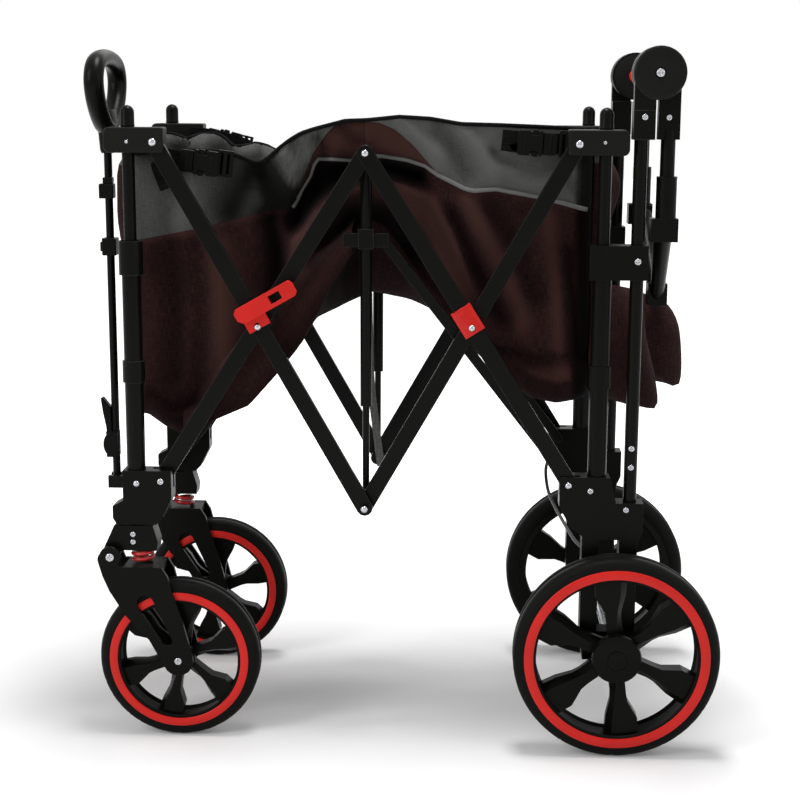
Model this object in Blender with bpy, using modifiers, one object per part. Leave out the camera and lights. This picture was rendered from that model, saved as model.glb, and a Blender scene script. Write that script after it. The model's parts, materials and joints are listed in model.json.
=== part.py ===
# Folding hand-pulled wagon, half folded, as an assembly of separate sub-parts.
# Metres. +X runs to the push handle, +Y away from the near side, +Z up, floor at Z = 0.
import bpy
import bmesh
from math import atan2, cos, pi, radians, sin
from mathutils import Matrix, Vector

# Overall sizes of the frame, as it stands half folded
FOLD_X = -0.0400           # X of the middle pivots, which puts the whole wagon's box round X = 0
HALF_SPAN = 0.246          # from the middle pivots to the corner pivots
TOP_Z = 0.724              # upper corner pivots
LOW_Z = 0.322              # lower corner pivots
TOP_MID_DROP = 0.0114      # upper middle pivots below the upper corners
LOW_MID_DROP = 0.0305      # lower middle pivots below the lower corners
POST_OUT = 0.031           # corner posts beyond the corner pivots
POST_Y = 0.141             # corner posts from the middle plane
POST_X = HALF_SPAN + POST_OUT

# Fits
GAP = 0.0003
SHARP = radians(35)        # edges turning more than this are drawn sharp
PIN_R = 0.0028
PIN_FIT = 0.0003
PIN_SIDES = 8
TUBE_SIDES = 16
PIN_SHORT = 0.0005         # a pivot pin stops this far inside the last face
STEP_IN = 0.0007           # how far a joined shape steps in from its neighbour's face
SINK = 0.001               # how far a pin or a boss runs into what it is joined to
ACROSS = (-1, 1)           # a cutter right across the wagon
THROUGH = 0.01             # how far a cutter runs past the faces that it opens
OPEN_PIVOT_FIT = 0.0041    # play at the upper middle pivot, where the linkage is opened
SLOT_FIT = 0.0006
WELD = 0.00002             # points this close are one

# Corner posts: a rod that slides in a sleeve
ROD_R = 0.0075
ROD_PLAY = 0.0021
ROD_OVER = 0.042           # rod above the upper corner pivots
ROD_LAP = 0.109            # rod inside its sleeve
SLEEVE_WALL = 0.0017
SLEEVE_UNDER = 0.022       # sleeve below the lower corner pivots
SLEEVE_LEN = 0.309
COLLAR_H = 0.040
COLLAR_RIM = 0.0032        # top collar beyond the sleeve
LOW_COLLAR_RIM = 0.0022
LOW_COLLAR_UP = (0.1405, 0.1664)
SLEEVE_R = ROD_R + ROD_PLAY + SLEEVE_WALL
BORE_R = SLEEVE_R - SLEEVE_WALL
SLEEVE_BOTTOM_Z = LOW_Z - SLEEVE_UNDER
SLEEVE_TOP_Z = SLEEVE_BOTTOM_Z + SLEEVE_LEN
ROD_BOTTOM_Z = SLEEVE_TOP_Z - ROD_LAP
ROD_TOP_Z = TOP_Z + ROD_OVER

# Brackets at the corners
BRACKET_WALLS = (0.0017, 0.0027)   # inner and outer wall beside a sleeve
BRACKET_Y = (POST_Y - SLEEVE_R - BRACKET_WALLS[0], POST_Y + SLEEVE_R + BRACKET_WALLS[1])
BRACKET_INBOARD = 0.0125   # bracket beyond the corner pivot, towards the middle
LOW_INBOARD = 0.0135
TOP_BRACKET_Z = (-0.0125, 0.017)
TOP_BRACKET_OUT = 0.0265   # bracket beyond the post
LOW_BRACKET_TOP = 0.012
PIN_ENDS = (0.002, 0.001)  # a corner pin stops short of the bracket's inner and outer face

# Scissor bars, in two layers
BAR_W = 0.0195
BAR_T = 0.007
BAR_LAYER = 0.0065         # middle of the outer layer beyond the posts
LAYER_FIT = 0.0025
BAR_OUTER_Y = POST_Y + BAR_LAYER
BAR_INNER_Y = BAR_OUTER_Y - BAR_T - LAYER_FIT

# Centre posts and floor struts
STRUT_W = 0.012
STRUT_T = 0.005
STRUT_SIDE_FIT = 0.0015    # between a strut and the lower bracket that its foot lies beside
STRUT_X = 0.0198           # strut pins beside the centre post
STRUT_DROP = 0.1017        # strut pins below the upper middle pivot
EAR_T = 0.003
EAR_SIDE = 0.007
EAR_H = 0.008
RING_RIM = 0.002
RING_Z = (-0.010, 0.013)
CENTRE_Y = BRACKET_Y[0] - STRUT_SIDE_FIT - STRUT_T / 2
CENTRE_R = 0.007
CENTRE_BORE_R = 0.0061
CENTRE_BORE_STOP = 0.06    # the bore ends this far below the upper pivot
CENTRE_STAY = 0.1201       # the tube's lower end above the lower pivot
CENTRE_ROD_R = 0.0042
CENTRE_ROD_LEN = 0.200
TAB_R = 0.0095
TAB_IN = 0.005
TAB_Y = (CENTRE_Y - TAB_IN, BAR_INNER_Y - BAR_T / 2 - 0.001)

# Push handle
PUSH_POST_X = POST_X + 0.040
PUSH_POST_R = 0.008
PUSH_POST_BOTTOM_Z = SLEEVE_BOTTOM_Z - 0.025
KNOB = (PUSH_POST_X + 0.018, TOP_Z + 0.081)
KNOB_R = 0.030
KNOB_OUTER_Y = (POST_Y + 0.0005, POST_Y + 0.014)
KNOB_INNER_Y = (POST_Y - 0.0175, POST_Y + 0.0002)
KNOB_SIDES = 20
LEG_W = 0.025
LEG_SHIFT = 0.002          # the fixed leg beyond the middle of its post
LEG_BOTTOM_Z = KNOB[1] - 0.075
LEG_GRIP = 0.010           # a tube inside its leg
POST_LEG_TOP_Z = KNOB[1] - 0.032
POST_LEG_IN = 0.0125
ARM_X = KNOB[0] + 0.0136
ARM_Y = POST_Y - 0.007
ARM_R = 0.0085
ARM_SLEEVE_R = ARM_R + 0.0035
ARM_SLEEVE_Z = (KNOB[1] - 0.192, KNOB[1] - 0.117)
HINGE_BLOCK_X = (ARM_X - 0.0176, ARM_X + 0.0139)
HINGE_BLOCK_Z = (ARM_SLEEVE_Z[0], ARM_SLEEVE_Z[0] + 0.027)
HINGE_BLOCK_Y = (ARM_Y - 0.012, ARM_Y + 0.012)
HINGE_STEP = 0.005         # the sleeve starts this far above the block's lower face
GRIP_CENTRE = (ARM_X + 0.0084, ARM_SLEEVE_Z[0] - 0.077)
GRIP_R = (0.012, 0.0085)
GRIP_SIDES = 14
GRIP_MIDDLE = (0.012, 0.014, 0.0135)
GRIP_LUG = 0.012
GRIP_LUG_X = (HINGE_BLOCK_X[0] + 0.006, HINGE_BLOCK_X[1] - 0.002)
GRIP_TAIL_Y = 0.008
BUTTON_R = 0.009
BUTTON_OUT = 0.007
BUTTON_TRAVEL = 0.004
BUTTON_SEAT = 0.004

# Clamp that ties the rear post sleeve to the push post
CLAMP_X = (POST_X - 0.016, PUSH_POST_X + PUSH_POST_R + 0.0035)

# Wheels
WHEEL_STEPS = 32
REAR_R = 0.1235
REAR_WIDTH = 0.040
REAR_RIM_R = 0.105
REAR_WHEEL_X = PUSH_POST_X - 0.0144
REAR_WHEEL_Y = BRACKET_Y[1] + 0.003 + REAR_WIDTH / 2
REAR_HUB_R = 0.017
FRONT_R = 0.099
FRONT_WIDTH = 0.036
FRONT_RIM_R = 0.0815
FRONT_HUB_R = 0.014
TYRE_SHOULDER = (0.003, 0.009, 0.007, 0.002)   # bead inset, shoulder drop, tread inset, tread drop
TREAD_SHARE = 0.35
RIM_DEPTH = 0.0115
RIM_INSET = 0.0045
SPOKES = 6
SPOKE_T = 0.016
SPOKE_HALF_WIDTHS = (0.0055, 0.0085, 0.0190)   # at the hub, the kink and the ring
SPOKE_KINK = 0.52
SPOKE_LEAN = 0.8           # left side of a blade against its right
SPOKE_ROOT = 0.6
REAR_SPOKE_TURN = radians(22)
FRONT_SPOKE_TURN = radians(8)
AXLE_R = 0.005
AXLE_TUBE_R = 0.010
AXLE_SHORT = 0.002         # the stub ends this far inside the wheel's face
HUB_SIDE_FIT = 0.0015
HUB_PROUD = 0.003
FRONT_AXLE_R = 0.004
FRONT_HUB_FIT = 0.0006
REAR_AXLE_Z = REAR_R * cos(pi / WHEEL_STEPS)
FRONT_AXLE_Z = FRONT_R * cos(pi / WHEEL_STEPS)

# Lower castings; outlines start at the post and the lower corner pivot
REAR_CASTING = [(0.015, LOW_BRACKET_TOP), (0.023, -0.019), (0.0555, -0.019), (0.0555, -0.054)]
REAR_CASTING_BACK = [(-0.0164, -0.060), (-0.030, -0.050)]
REAR_CASTING_TOE = -0.024
LEG_X = (-0.0420, -0.0216, 0.0024, 0.0239)     # edges of the two legs, from the axle
LEG_TOP_Z = LOW_Z - 0.067
LEG_GAP_Z = LOW_Z - 0.064
LEG_FOOT = 0.015           # legs below the axle
LEG_PLATE = 0.021          # the web between the legs starts this far above the axle
LEG_CHAMFER = 0.004
FRONT_CASTING = [(-0.0145, LOW_BRACKET_TOP), (-0.0145, -0.025), (-0.0275, -0.032), (-0.0275, -0.047)]
FRONT_CASTING_FOOT = (-0.023, 0.025)
FRONT_CASTING_BACK = (0.032, -0.047)
FRONT_CASTING_TOE = -0.022

# Casters; outlines start at the post, or at the suspension pivot
TRAIL = 0.050              # front axle behind the swivel axis
FRONT_AXLE_X = -POST_X + TRAIL
HEAD_T = 0.027
HEAD_TOP_Z = LOW_Z - 0.056
HEAD_UNDER_Z = HEAD_TOP_Z - 0.0315
HEAD_FIT = 0.0015          # between the head and the casting above it
HEAD_BACK = ((0.025, 0), (0.0265, 0.0115))     # from the head's lower face
HEAD_CROWN = (0.0205, -0.0265)
HEAD_FRONT = ((-0.0215, -0.004), (-0.016, 0))
STEM_R = 0.006
STEM_TOP_Z = LOW_Z - 0.0305
STEM_ROOT = 0.005
ARM_PIVOT = (-POST_X - 0.034, HEAD_TOP_Z - 0.0404)
ARM_BOSS_R = 0.0105
FORK_EYE_R = 0.0115
FORK_FOOT_R = 0.0185
FORK_BOSS_R = 0.009
FORK_PLATE_T = 0.005
FORK_SIDE_FIT = 0.0012
FORK_FRONT = [(-0.006, -0.0206), (0.002, -0.0396), (0.022, -0.0716), (0.049, -0.1006)]
FORK_BACK = [(0.090, -0.0756), (0.078, -0.0406), (0.073, -0.0206)]
FORK_CROWN = (0.066, 0.013)
FORK_WINDOW = ((0.045, -0.0546, 0.0105), (0.071, -0.1016, 0.0065))
FORK_LEAN = radians(30)
BRIDGE_X = (-POST_X - 0.015, -POST_X + 0.031)
BRIDGE_Z = (HEAD_UNDER_Z - 0.027, HEAD_UNDER_Z - 0.018)
SPRING_X = -POST_X + 0.0054
SPRING_R = 0.0105
SPRING_WIRE_R = 0.0013
SPRING_TURNS = 3.5
SPRING_POINTS = 10

# Cross tube and pull handle at the front
CROSS_R = 0.009
CROSS_Z = LOW_Z - 0.037
PULL_X = -POST_X - 0.056
POLE_R = 0.005
POLE_TOP_Z = TOP_Z - 0.009
POLE_ROOT = 0.004
KNUCKLE_T = 0.011
KNUCKLE_R = 0.0075
EAR_BLOCK_X = 0.009
EAR_BLOCK_Y = 0.013
EAR_BLOCK_H = 0.008
EAR_SLOT = 0.011           # the slot's end behind the pivot
CLAMP_BOX = ((-0.0115, -0.008, 0.0313), (0.004, 0.008, 0.0659))     # from the pole's foot pivot
LEVER_BOX = ((-0.0125, -0.006, 0.064), (-0.003, 0.006, 0.109))
CLIP_BOX = ((-0.009, -0.010, -0.146), (0.009, 0.010, -0.124))       # from the upper corner pivots
STOP_BOX = ((-0.0115, -0.008, -0.0745), (0.007, 0.008, -0.056))
GRIP_TOP_Z = POLE_TOP_Z + 0.118
GRIP_HALF_W = 0.056
GRIP_DEPTH = 0.016
GRIP_BAR = 0.016
GRIP_CORNER_R = 0.024
GRIP_SLOPE = 0.003         # how far the loop's sides lean in at the shoulders
GRIP_NECK = ((0.010, -0.018), (0.014, 0.008), (0.045, 0.052, 0.028))   # half widths and heights

# Fabric tub; a station is (part of the way to the end, near rim, far rim, floor at the sides,
# floor in the middle, extra width), with rims above the upper pivots and floors above the lower ones
CLOTH_T = 0.003
NEST = 0.0035              # the front half lies this far inside the rear half where they lap
TUB_FIT = 0.003            # between the tub and the centre collars
TUB_Y = CENTRE_Y - CENTRE_R - RING_RIM - TUB_FIT
FLOOR_ROUND = 0.030
LAP = 0.008
TUB_REAR_X = HALF_SPAN + 0.020
TUB_FRONT_X = HALF_SPAN + 0.022
LAP_RIM = 0.026
LAP_FLOOR = 0.212
REAR_STATIONS = [(0.000, LAP_RIM, LAP_RIM, LAP_FLOOR, LAP_FLOOR, 0),
                 (0.113, LAP_RIM, LAP_RIM, LAP_FLOOR, LAP_FLOOR, 0),
                 (0.282, 0.028, 0.026, 0.192, 0.198, 0), (0.451, 0.024, 0.021, 0.160, 0.178, 0.001),
                 (0.602, 0.021, 0.018, 0.122, 0.148, 0.001), (0.771, 0.018, 0.016, 0.093, 0.118, 0),
                 (0.921, 0.017, 0.015, 0.090, 0.108, 0), (1.000, 0.016, 0.014, 0.096, 0.108, 0)]
FRONT_STATIONS = [(-LAP / TUB_FRONT_X, LAP_RIM, LAP_RIM, LAP_FLOOR, LAP_FLOOR, 0),
                  (0.112, LAP_RIM, LAP_RIM, LAP_FLOOR, LAP_FLOOR, 0),
                  (0.269, -0.002, 0.001, 0.178, 0.193, 0), (0.410, -0.023, -0.024, 0.128, 0.158, 0.001),
                  (0.541, -0.018, -0.024, 0.088, 0.118, 0), (0.709, -0.010, -0.008, 0.070, 0.093, 0),
                  (0.866, -0.009, 0.006, 0.052, 0.078, 0), (1.000, -0.008, 0.011, 0.074, 0.083, 0)]
TAB_LEN = 0.022            # webbing tabs that hang the tub on the top brackets
TAB_ROOT = 0.004
TAB_Z = {-1: (-0.023, 0), 1: (-0.008, 0.014)}
LOBE_Y = 0.088             # middle of a hanging lobe of the rear pocket
LOBE_T = 0.044
NEAR_LOBE = [(-0.0115, 0.238), (0.023, 0.230), (0.053, 0.214), (0.0615, 0.168), (0.074, 0.1195),
             (0.0775, 0.0825), (0.057, 0.082), (0.023, 0.090), (-0.0115, 0.108)]
FAR_LOBE = [(-0.0115, 0.223), (0.053, 0.213), (0.089, 0.1985), (0.1065, 0.188), (0.1195, 0.155),
            (0.1215, 0.0896), (0.0967, 0.0906), (0.043, 0.100), (-0.0115, 0.118)]

# Latch on the near front crossing; outlines start at the crossing, along and across the catch
LATCH_Y = (BAR_OUTER_Y + BAR_T / 2 + 0.0005, BAR_OUTER_Y + BAR_T / 2 + 0.007)
LEVER_Y = (LATCH_Y[1] - 0.001, LATCH_Y[1] + 0.007)
LATCH_BASE = [(-0.013, -0.005), (0.0145, -0.005), (0.0145, 0.012), (-0.013, 0.012)]
LATCH_LEVER = [(-0.0115, 0.0087), (0.057, 0.0087), (0.061, 0.0120), (0.061, 0.0245),
               (0.058, 0.0285), (-0.0125, 0.0285), (-0.017, 0.0245), (-0.017, 0.0150)]
LATCH_WINDOW = [(0.028, 0.0135), (0.043, 0.0135), (0.043, 0.0235), (0.028, 0.0235)]

# Brake cable; its knots start at the rear post and the lower corner pivot
CABLE_R = 0.0022
CABLE_KNOTS = [(-0.037, 0.119, -0.019), (-0.0485, 0.090, -0.032), (-0.0468, 0.060, -0.057),
               (-0.038, 0.015, -0.071), (-0.029, -0.040, -0.0780), (-0.0200, -0.090, -0.0835),
               (-0.0105, -0.118, -0.0860)]

SIDES = (("near", -1), ("far", 1))

# Places worked out from the driving sizes
MID_TOP = Vector((0, 0, TOP_Z - TOP_MID_DROP))
MID_LOW = Vector((0, 0, LOW_Z - LOW_MID_DROP))
LONG_DROP = TOP_Z - MID_LOW.z
SHORT_RISE = MID_TOP.z - LOW_Z
CROSS_SHARE = (TOP_Z - LOW_Z) / (LONG_DROP + SHORT_RISE)


def corner(end, z):
    """A corner pivot: end is -1 at the front and +1 at the rear."""
    return Vector((end * HALF_SPAN, 0, z))


def crossing(end):
    """The pivot where a long bar and a short bar cross."""
    return Vector((end * HALF_SPAN * (1 - CROSS_SHARE), 0, TOP_Z - LONG_DROP * CROSS_SHARE))


def reset():
    """Empty the scene and make the two collections."""
    for old in list(bpy.data.objects):
        bpy.data.objects.remove(old, do_unlink=True)
    groups = {}
    for name in ("folding_wagon", "cutters"):
        groups[name] = bpy.data.collections.new(name)
        bpy.context.scene.collection.children.link(groups[name])
    return groups


GROUPS = reset()
FRAME = bpy.data.objects.new("frame_origin", None)
FRAME.location = (FOLD_X, 0, 0)
GROUPS["folding_wagon"].objects.link(FRAME)


def paint(name, colour, roughness, metallic=0.0):
    """A material with one Principled BSDF."""
    material = bpy.data.materials.new(name)
    material.use_nodes = True
    shader = material.node_tree.nodes["Principled BSDF"]
    shader.inputs["Base Color"].default_value = (*colour, 1)
    shader.inputs["Roughness"].default_value = roughness
    shader.inputs["Metallic"].default_value = metallic
    return material


BLACK_PLASTIC = paint("black_plastic", (0.012, 0.012, 0.012), 0.45)
BLACK_STEEL = paint("black_steel", (0.010, 0.010, 0.010), 0.30, 0.4)
BARE_STEEL = paint("bare_steel", (0.55, 0.55, 0.55), 0.25, 1.0)
RED_PLASTIC = paint("red_plastic", (0.70, 0.015, 0.012), 0.35)
RED_STEEL = paint("red_steel", (0.65, 0.012, 0.010), 0.30, 0.4)
TYRE_RUBBER = paint("tyre_rubber", (0.010, 0.010, 0.011), 0.75)
FABRIC = paint("tub_fabric", (0.035, 0.014, 0.014), 0.90)
CABLE = paint("cable_jacket", (0.008, 0.008, 0.008), 0.50)


def add_object(name, mesh, at=(0, 0, 0)):
    """A mesh object in the wagon's frame."""
    made = bpy.data.objects.new(name, mesh)
    made.location = at
    made.parent = FRAME
    GROUPS["cutters"].objects.link(made)
    made.hide_render = True
    made.display_type = "WIRE"
    return made


def node(made, material):
    """Turn a shape into a finished sub-part."""
    GROUPS["cutters"].objects.unlink(made)
    GROUPS["folding_wagon"].objects.link(made)
    made.hide_render = False
    made.display_type = "TEXTURED"
    made.data.materials.clear()
    made.data.materials.append(material)
    made.data.shade_smooth()
    made.data.set_sharp_from_angle(angle=SHARP)
    return made


def mesh_from(build, *args, **options):
    """A mesh made by one bmesh primitive."""
    shape = bmesh.new()
    build(shape, *args, **options)
    mesh = bpy.data.meshes.new("shape")
    shape.to_mesh(mesh)
    shape.free()
    return mesh


def block(name, low, high):
    """A box between two corners, given in any order."""
    low, high = Vector(low), Vector(high)
    size = Vector(abs(b - a) for a, b in zip(low, high))
    mesh = mesh_from(bmesh.ops.create_cube, size=1)
    mesh.transform(Matrix.Diagonal((*size, 1)))
    return add_object(name, mesh, (low + high) / 2)


def rod(name, start, end, radius, end_radius=None, sides=12):
    """A round bar or a cone between two points."""
    start, end = Vector(start), Vector(end)
    run = end - start
    last = radius if end_radius is None else end_radius
    mesh = mesh_from(bmesh.ops.create_cone, cap_ends=True, segments=sides,
                     radius1=radius, radius2=last, depth=run.length)
    mesh.transform(run.to_track_quat("Z", "Y").to_matrix().to_4x4())
    return add_object(name, mesh, (start + end) / 2)


def cross_rod(name, at, y_range, radius, sides=12):
    """A round bar along Y through a point of the side view."""
    return rod(name, (at[0], y_range[0], at[-1]), (at[0], y_range[1], at[-1]), radius, sides=sides)


def circle(centre, radius, points=12, start=0.0, sweep=2 * pi):
    """Points on an arc of the side view; a full circle leaves out its repeated point."""
    count = points if sweep == 2 * pi else points + 1
    return [(centre[0] + radius * cos(start + sweep * i / points),
             centre[-1] + radius * sin(start + sweep * i / points)) for i in range(count)]


def stadium(start, end, radius, points=6):
    """The outline of a flat bar with round ends."""
    heading = atan2(end[-1] - start[-1], end[0] - start[0])
    return (circle(end, radius, points, heading - pi / 2, pi)
            + circle(start, radius, points, heading + pi / 2, pi))


def moved(points, across, up):
    """An outline shifted to its place in the side view."""
    return [(x + across, z + up) for x, z in points]


def plate(name, outlines, middle, thickness, normal="Y", at=(0, 0, 0)):
    """A flat outline with holes, extruded about a plane; points are in the side or front view."""
    curve = bpy.data.curves.new(name, "CURVE")
    curve.dimensions = "2D"
    curve.fill_mode = "BOTH"
    curve.extrude = thickness / 2
    for outline in outlines:
        line = curve.splines.new("POLY")
        line.points.add(len(outline) - 1)
        for point, (across, up) in zip(line.points, outline):
            point.co = (across, up, 0, 1)
        line.use_cyclic_u = True
    drawn = bpy.data.objects.new(name, curve)
    GROUPS["cutters"].objects.link(drawn)
    turn = Matrix.Rotation(pi / 2, 4, "X")
    shift = (at[0], middle, at[2])
    if normal == "X":
        turn = Matrix.Rotation(pi / 2, 4, "Z") @ turn
        shift = (middle, at[1], at[2])
    return curve_to_mesh(drawn, turn, shift)


def curve_to_mesh(drawn, turn=Matrix.Identity(4), at=(0, 0, 0)):
    """Replace a curve object by a mesh object with welded caps."""
    name = drawn.name
    graph = bpy.context.evaluated_depsgraph_get()
    mesh = bpy.data.meshes.new_from_object(drawn.evaluated_get(graph))
    bpy.data.objects.remove(drawn, do_unlink=True)
    mesh.transform(turn)
    weld = bmesh.new()
    weld.from_mesh(mesh)
    bmesh.ops.remove_doubles(weld, verts=weld.verts, dist=WELD)
    bmesh.ops.recalc_face_normals(weld, faces=weld.faces)
    weld.to_mesh(mesh)
    weld.free()
    return add_object(name, mesh, at)


def pipe(name, points, radius, resolution=2):
    """A round wire or tube along points."""
    curve = bpy.data.curves.new(name, "CURVE")
    curve.dimensions = "3D"
    curve.bevel_depth = radius
    curve.bevel_resolution = resolution
    curve.use_fill_caps = True
    line = curve.splines.new("POLY")
    line.points.add(len(points) - 1)
    for knot, point in zip(line.points, points):
        knot.co = (*point, 1)
    drawn = bpy.data.objects.new(name, curve)
    GROUPS["cutters"].objects.link(drawn)
    return curve_to_mesh(drawn)


def turned(name, profile, at, along, steps=12, closed=False):
    """A profile of (radius, height) points, turned about a line through a point."""
    mesh = bpy.data.meshes.new(name)
    edges = [(i, i + 1) for i in range(len(profile) - 1)]
    if closed:
        edges.append((len(profile) - 1, 0))
    mesh.from_pydata([(radius, 0, height) for radius, height in profile], edges, [])
    made = add_object(name, mesh, at)
    made.rotation_euler = Vector(along).to_track_quat("Z", "Y").to_euler()
    screw = made.modifiers.new("turn", "SCREW")
    screw.steps = steps
    screw.render_steps = steps
    screw.use_merge_vertices = True
    screw.merge_threshold = WELD
    return made


def combine(target, pieces, operation):
    """Boolean modifiers that join or cut a shape."""
    for piece in pieces:
        change = target.modifiers.new(piece.name, "BOOLEAN")
        change.operation = operation
        change.solver = "EXACT"
        change.object = piece
    return target


def join(target, *pieces):
    return combine(target, pieces, "UNION")


def cut(target, *pieces):
    return combine(target, pieces, "DIFFERENCE")


def from_side(side, near_to_far):
    """A range of distances from the middle plane, as Y on one side."""
    return (side * near_to_far[0], side * near_to_far[1])


# Scissor bars

def scissor_bar(name, side, layer_y, start, end, holes, pins):
    """A flat bar between two pivots; holes are (pivot, radius), pins (pivot, inner y, outer y)."""
    outlines = [tuple(p - q for p, q in zip(point, (start.x, start.z)))
                for point in stadium(start, end, BAR_W / 2)]
    rings = []
    for pivot, radius in holes:
        rings.append(circle((pivot.x - start.x, pivot.z - start.z), radius, PIN_SIDES))
    bar = plate(name, [outlines, *rings], side * layer_y, BAR_T, at=(start.x, 0, start.z))
    for number, (pivot, y_range) in enumerate(pins):
        pin = cross_rod(f"{name}_pin_{number}", pivot, from_side(side, y_range), PIN_R, PIN_SIDES)
        join(bar, pin)
    return node(bar, BLACK_STEEL)


def scissor_bars():
    """Eight bars: on each side two long ones from the top corners and two short ones."""
    hole = PIN_R + PIN_FIT
    outer_mid = BAR_OUTER_Y
    inner_face = BAR_INNER_Y - BAR_T / 2
    tab_end = TAB_Y[0] + PIN_SHORT
    through_outer = BAR_OUTER_Y + BAR_T / 2 - GAP
    for label, side in SIDES:
        for end, word in ((-1, "front"), (1, "rear")):
            middle_in = (inner_face, outer_mid)
            long_name = f"{word}_long_bar_{label}"
            short_name = f"{word}_short_bar_{label}"
            if end < 0:
                latch_reach = LATCH_Y[1] - GAP if side < 0 else outer_mid
                scissor_bar(long_name, side, BAR_OUTER_Y, corner(end, TOP_Z), MID_LOW,
                            [(corner(end, TOP_Z), hole), (MID_LOW, hole)],
                            [(crossing(end), (inner_face, latch_reach))])
                scissor_bar(short_name, side, BAR_INNER_Y, corner(end, LOW_Z), MID_TOP,
                            [(corner(end, LOW_Z), hole), (crossing(end), hole),
                             (MID_TOP, PIN_R + OPEN_PIVOT_FIT)], [])
            else:
                scissor_bar(long_name, side, BAR_INNER_Y, corner(end, TOP_Z), MID_LOW,
                            [(corner(end, TOP_Z), hole), (crossing(end), hole)],
                            [(MID_LOW, (tab_end, through_outer))])
                scissor_bar(short_name, side, BAR_OUTER_Y, corner(end, LOW_Z), MID_TOP,
                            [(corner(end, LOW_Z), hole)],
                            [(crossing(end), middle_in), (MID_TOP, (tab_end, outer_mid))])


# Corner posts and brackets

def corner_pin(side, pivot):
    """The pin across a corner bracket that a bar's end turns on."""
    y_range = from_side(side, (BRACKET_Y[0] + PIN_ENDS[0], BRACKET_Y[1] - PIN_ENDS[1]))
    return cross_rod("pin", pivot, y_range, PIN_R, PIN_SIDES)


def top_bracket(label, side, end, word):
    """Plastic block that grips the post rod and holds a long bar's upper end."""
    pivot = corner(end, TOP_Z)
    low, high = TOP_Z + TOP_BRACKET_Z[0], TOP_Z + TOP_BRACKET_Z[1]
    radius = (high - low) / 2
    inboard = end * (HALF_SPAN - BRACKET_INBOARD)
    nose = end * (POST_X + TOP_BRACKET_OUT - radius)
    arc = circle((nose, (low + high) / 2), radius, 8, -pi / 2 if end > 0 else pi / 2, pi)
    tail = [(inboard, high), (inboard, low)] if end > 0 else [(inboard, low), (inboard, high)]
    y_low, y_high = BRACKET_Y
    body = plate(f"{word}_top_bracket_{label}", [arc + tail], side * (y_low + y_high) / 2,
                 y_high - y_low)
    layer = BAR_OUTER_Y if end < 0 else BAR_INNER_Y
    slot_y = from_side(side, (layer - BAR_T / 2 - SLOT_FIT, layer + BAR_T / 2 + SLOT_FIT))
    reach = BAR_W / 2 + 2 * SLOT_FIT
    slot = block("slot", (pivot.x + end * reach, slot_y[0], low - THROUGH),
                 (inboard - end * THROUGH, slot_y[1], TOP_Z + reach))
    post = rod("post_hole", (end * POST_X, side * POST_Y, low - THROUGH),
               (end * POST_X, side * POST_Y, high + THROUGH), ROD_R + GAP)
    pin = corner_pin(side, pivot)
    join(cut(body, slot, post), pin)
    return node(body, BLACK_PLASTIC)


def post_rod(label, side, end, word):
    """The upper post: a round rod with a domed top."""
    dome = [(ROD_R * cos(a * pi / 8), ROD_TOP_Z - ROD_R + ROD_R * sin(a * pi / 8))
            for a in range(4, -1, -1)]
    dome[0] = (0, ROD_TOP_Z)
    profile = [*dome, (ROD_R, ROD_BOTTOM_Z), (0, ROD_BOTTOM_Z)]
    made = turned(f"{word}_post_rod_{label}", profile, (end * POST_X, side * POST_Y, 0), (0, 0, 1))
    return node(made, BLACK_STEEL)


def sleeve_tube(name, side, end):
    """Outer tube of a corner post with its lower collar."""
    x, y = end * POST_X, side * POST_Y
    low, high = SLEEVE_BOTTOM_Z + LOW_COLLAR_UP[0], SLEEVE_BOTTOM_Z + LOW_COLLAR_UP[1]
    tube = rod(name, (x, y, SLEEVE_BOTTOM_Z), (x, y, SLEEVE_TOP_Z), SLEEVE_R, sides=TUBE_SIDES)
    collar = rod("collar", (x, y, low), (x, y, high), SLEEVE_R + LOW_COLLAR_RIM, sides=TUBE_SIDES)
    return join(tube, collar)


def sleeve_bore(x, y):
    return rod("bore", (x, y, SLEEVE_BOTTOM_Z - THROUGH), (x, y, SLEEVE_TOP_Z + THROUGH), BORE_R,
               sides=TUBE_SIDES)


def front_sleeve(label, side):
    """Front outer tube with a round top collar."""
    made = sleeve_tube(f"front_post_sleeve_{label}", side, -1)
    x, y = -POST_X, side * POST_Y
    collar = rod("top_collar", (x, y, SLEEVE_TOP_Z - COLLAR_H), (x, y, SLEEVE_TOP_Z), SLEEVE_R + COLLAR_RIM,
                 sides=TUBE_SIDES)
    return node(cut(join(made, collar), sleeve_bore(x, y)), BLACK_STEEL)


def rear_sleeve(label, side):
    """Rear outer tube with the clamp that also grips the push post."""
    made = sleeve_tube(f"rear_post_sleeve_{label}", side, 1)
    x, y = POST_X, side * POST_Y
    clamp_y = from_side(side, BRACKET_Y)
    clamp = block("clamp", (CLAMP_X[0], clamp_y[0], SLEEVE_TOP_Z - COLLAR_H),
                  (CLAMP_X[1], clamp_y[1], SLEEVE_TOP_Z))
    push = rod("push_hole", (PUSH_POST_X, y, SLEEVE_BOTTOM_Z), (PUSH_POST_X, y, SLEEVE_TOP_Z + THROUGH),
               PUSH_POST_R + GAP)
    return node(cut(join(made, clamp), sleeve_bore(x, y), push), BLACK_PLASTIC)


def bracket_slot(side, end, layer):
    """Slot in a lower bracket for a short bar's end."""
    y_range = from_side(side, (layer - BAR_T / 2 - SLOT_FIT, layer + BAR_T / 2 + SLOT_FIT))
    reach = BAR_W / 2 + 2 * SLOT_FIT
    return block("slot", (end * (HALF_SPAN + reach), y_range[0], LOW_Z - reach),
                 (end * (HALF_SPAN - LOW_INBOARD - THROUGH), y_range[1], LOW_Z + LOW_BRACKET_TOP + THROUGH))


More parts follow.
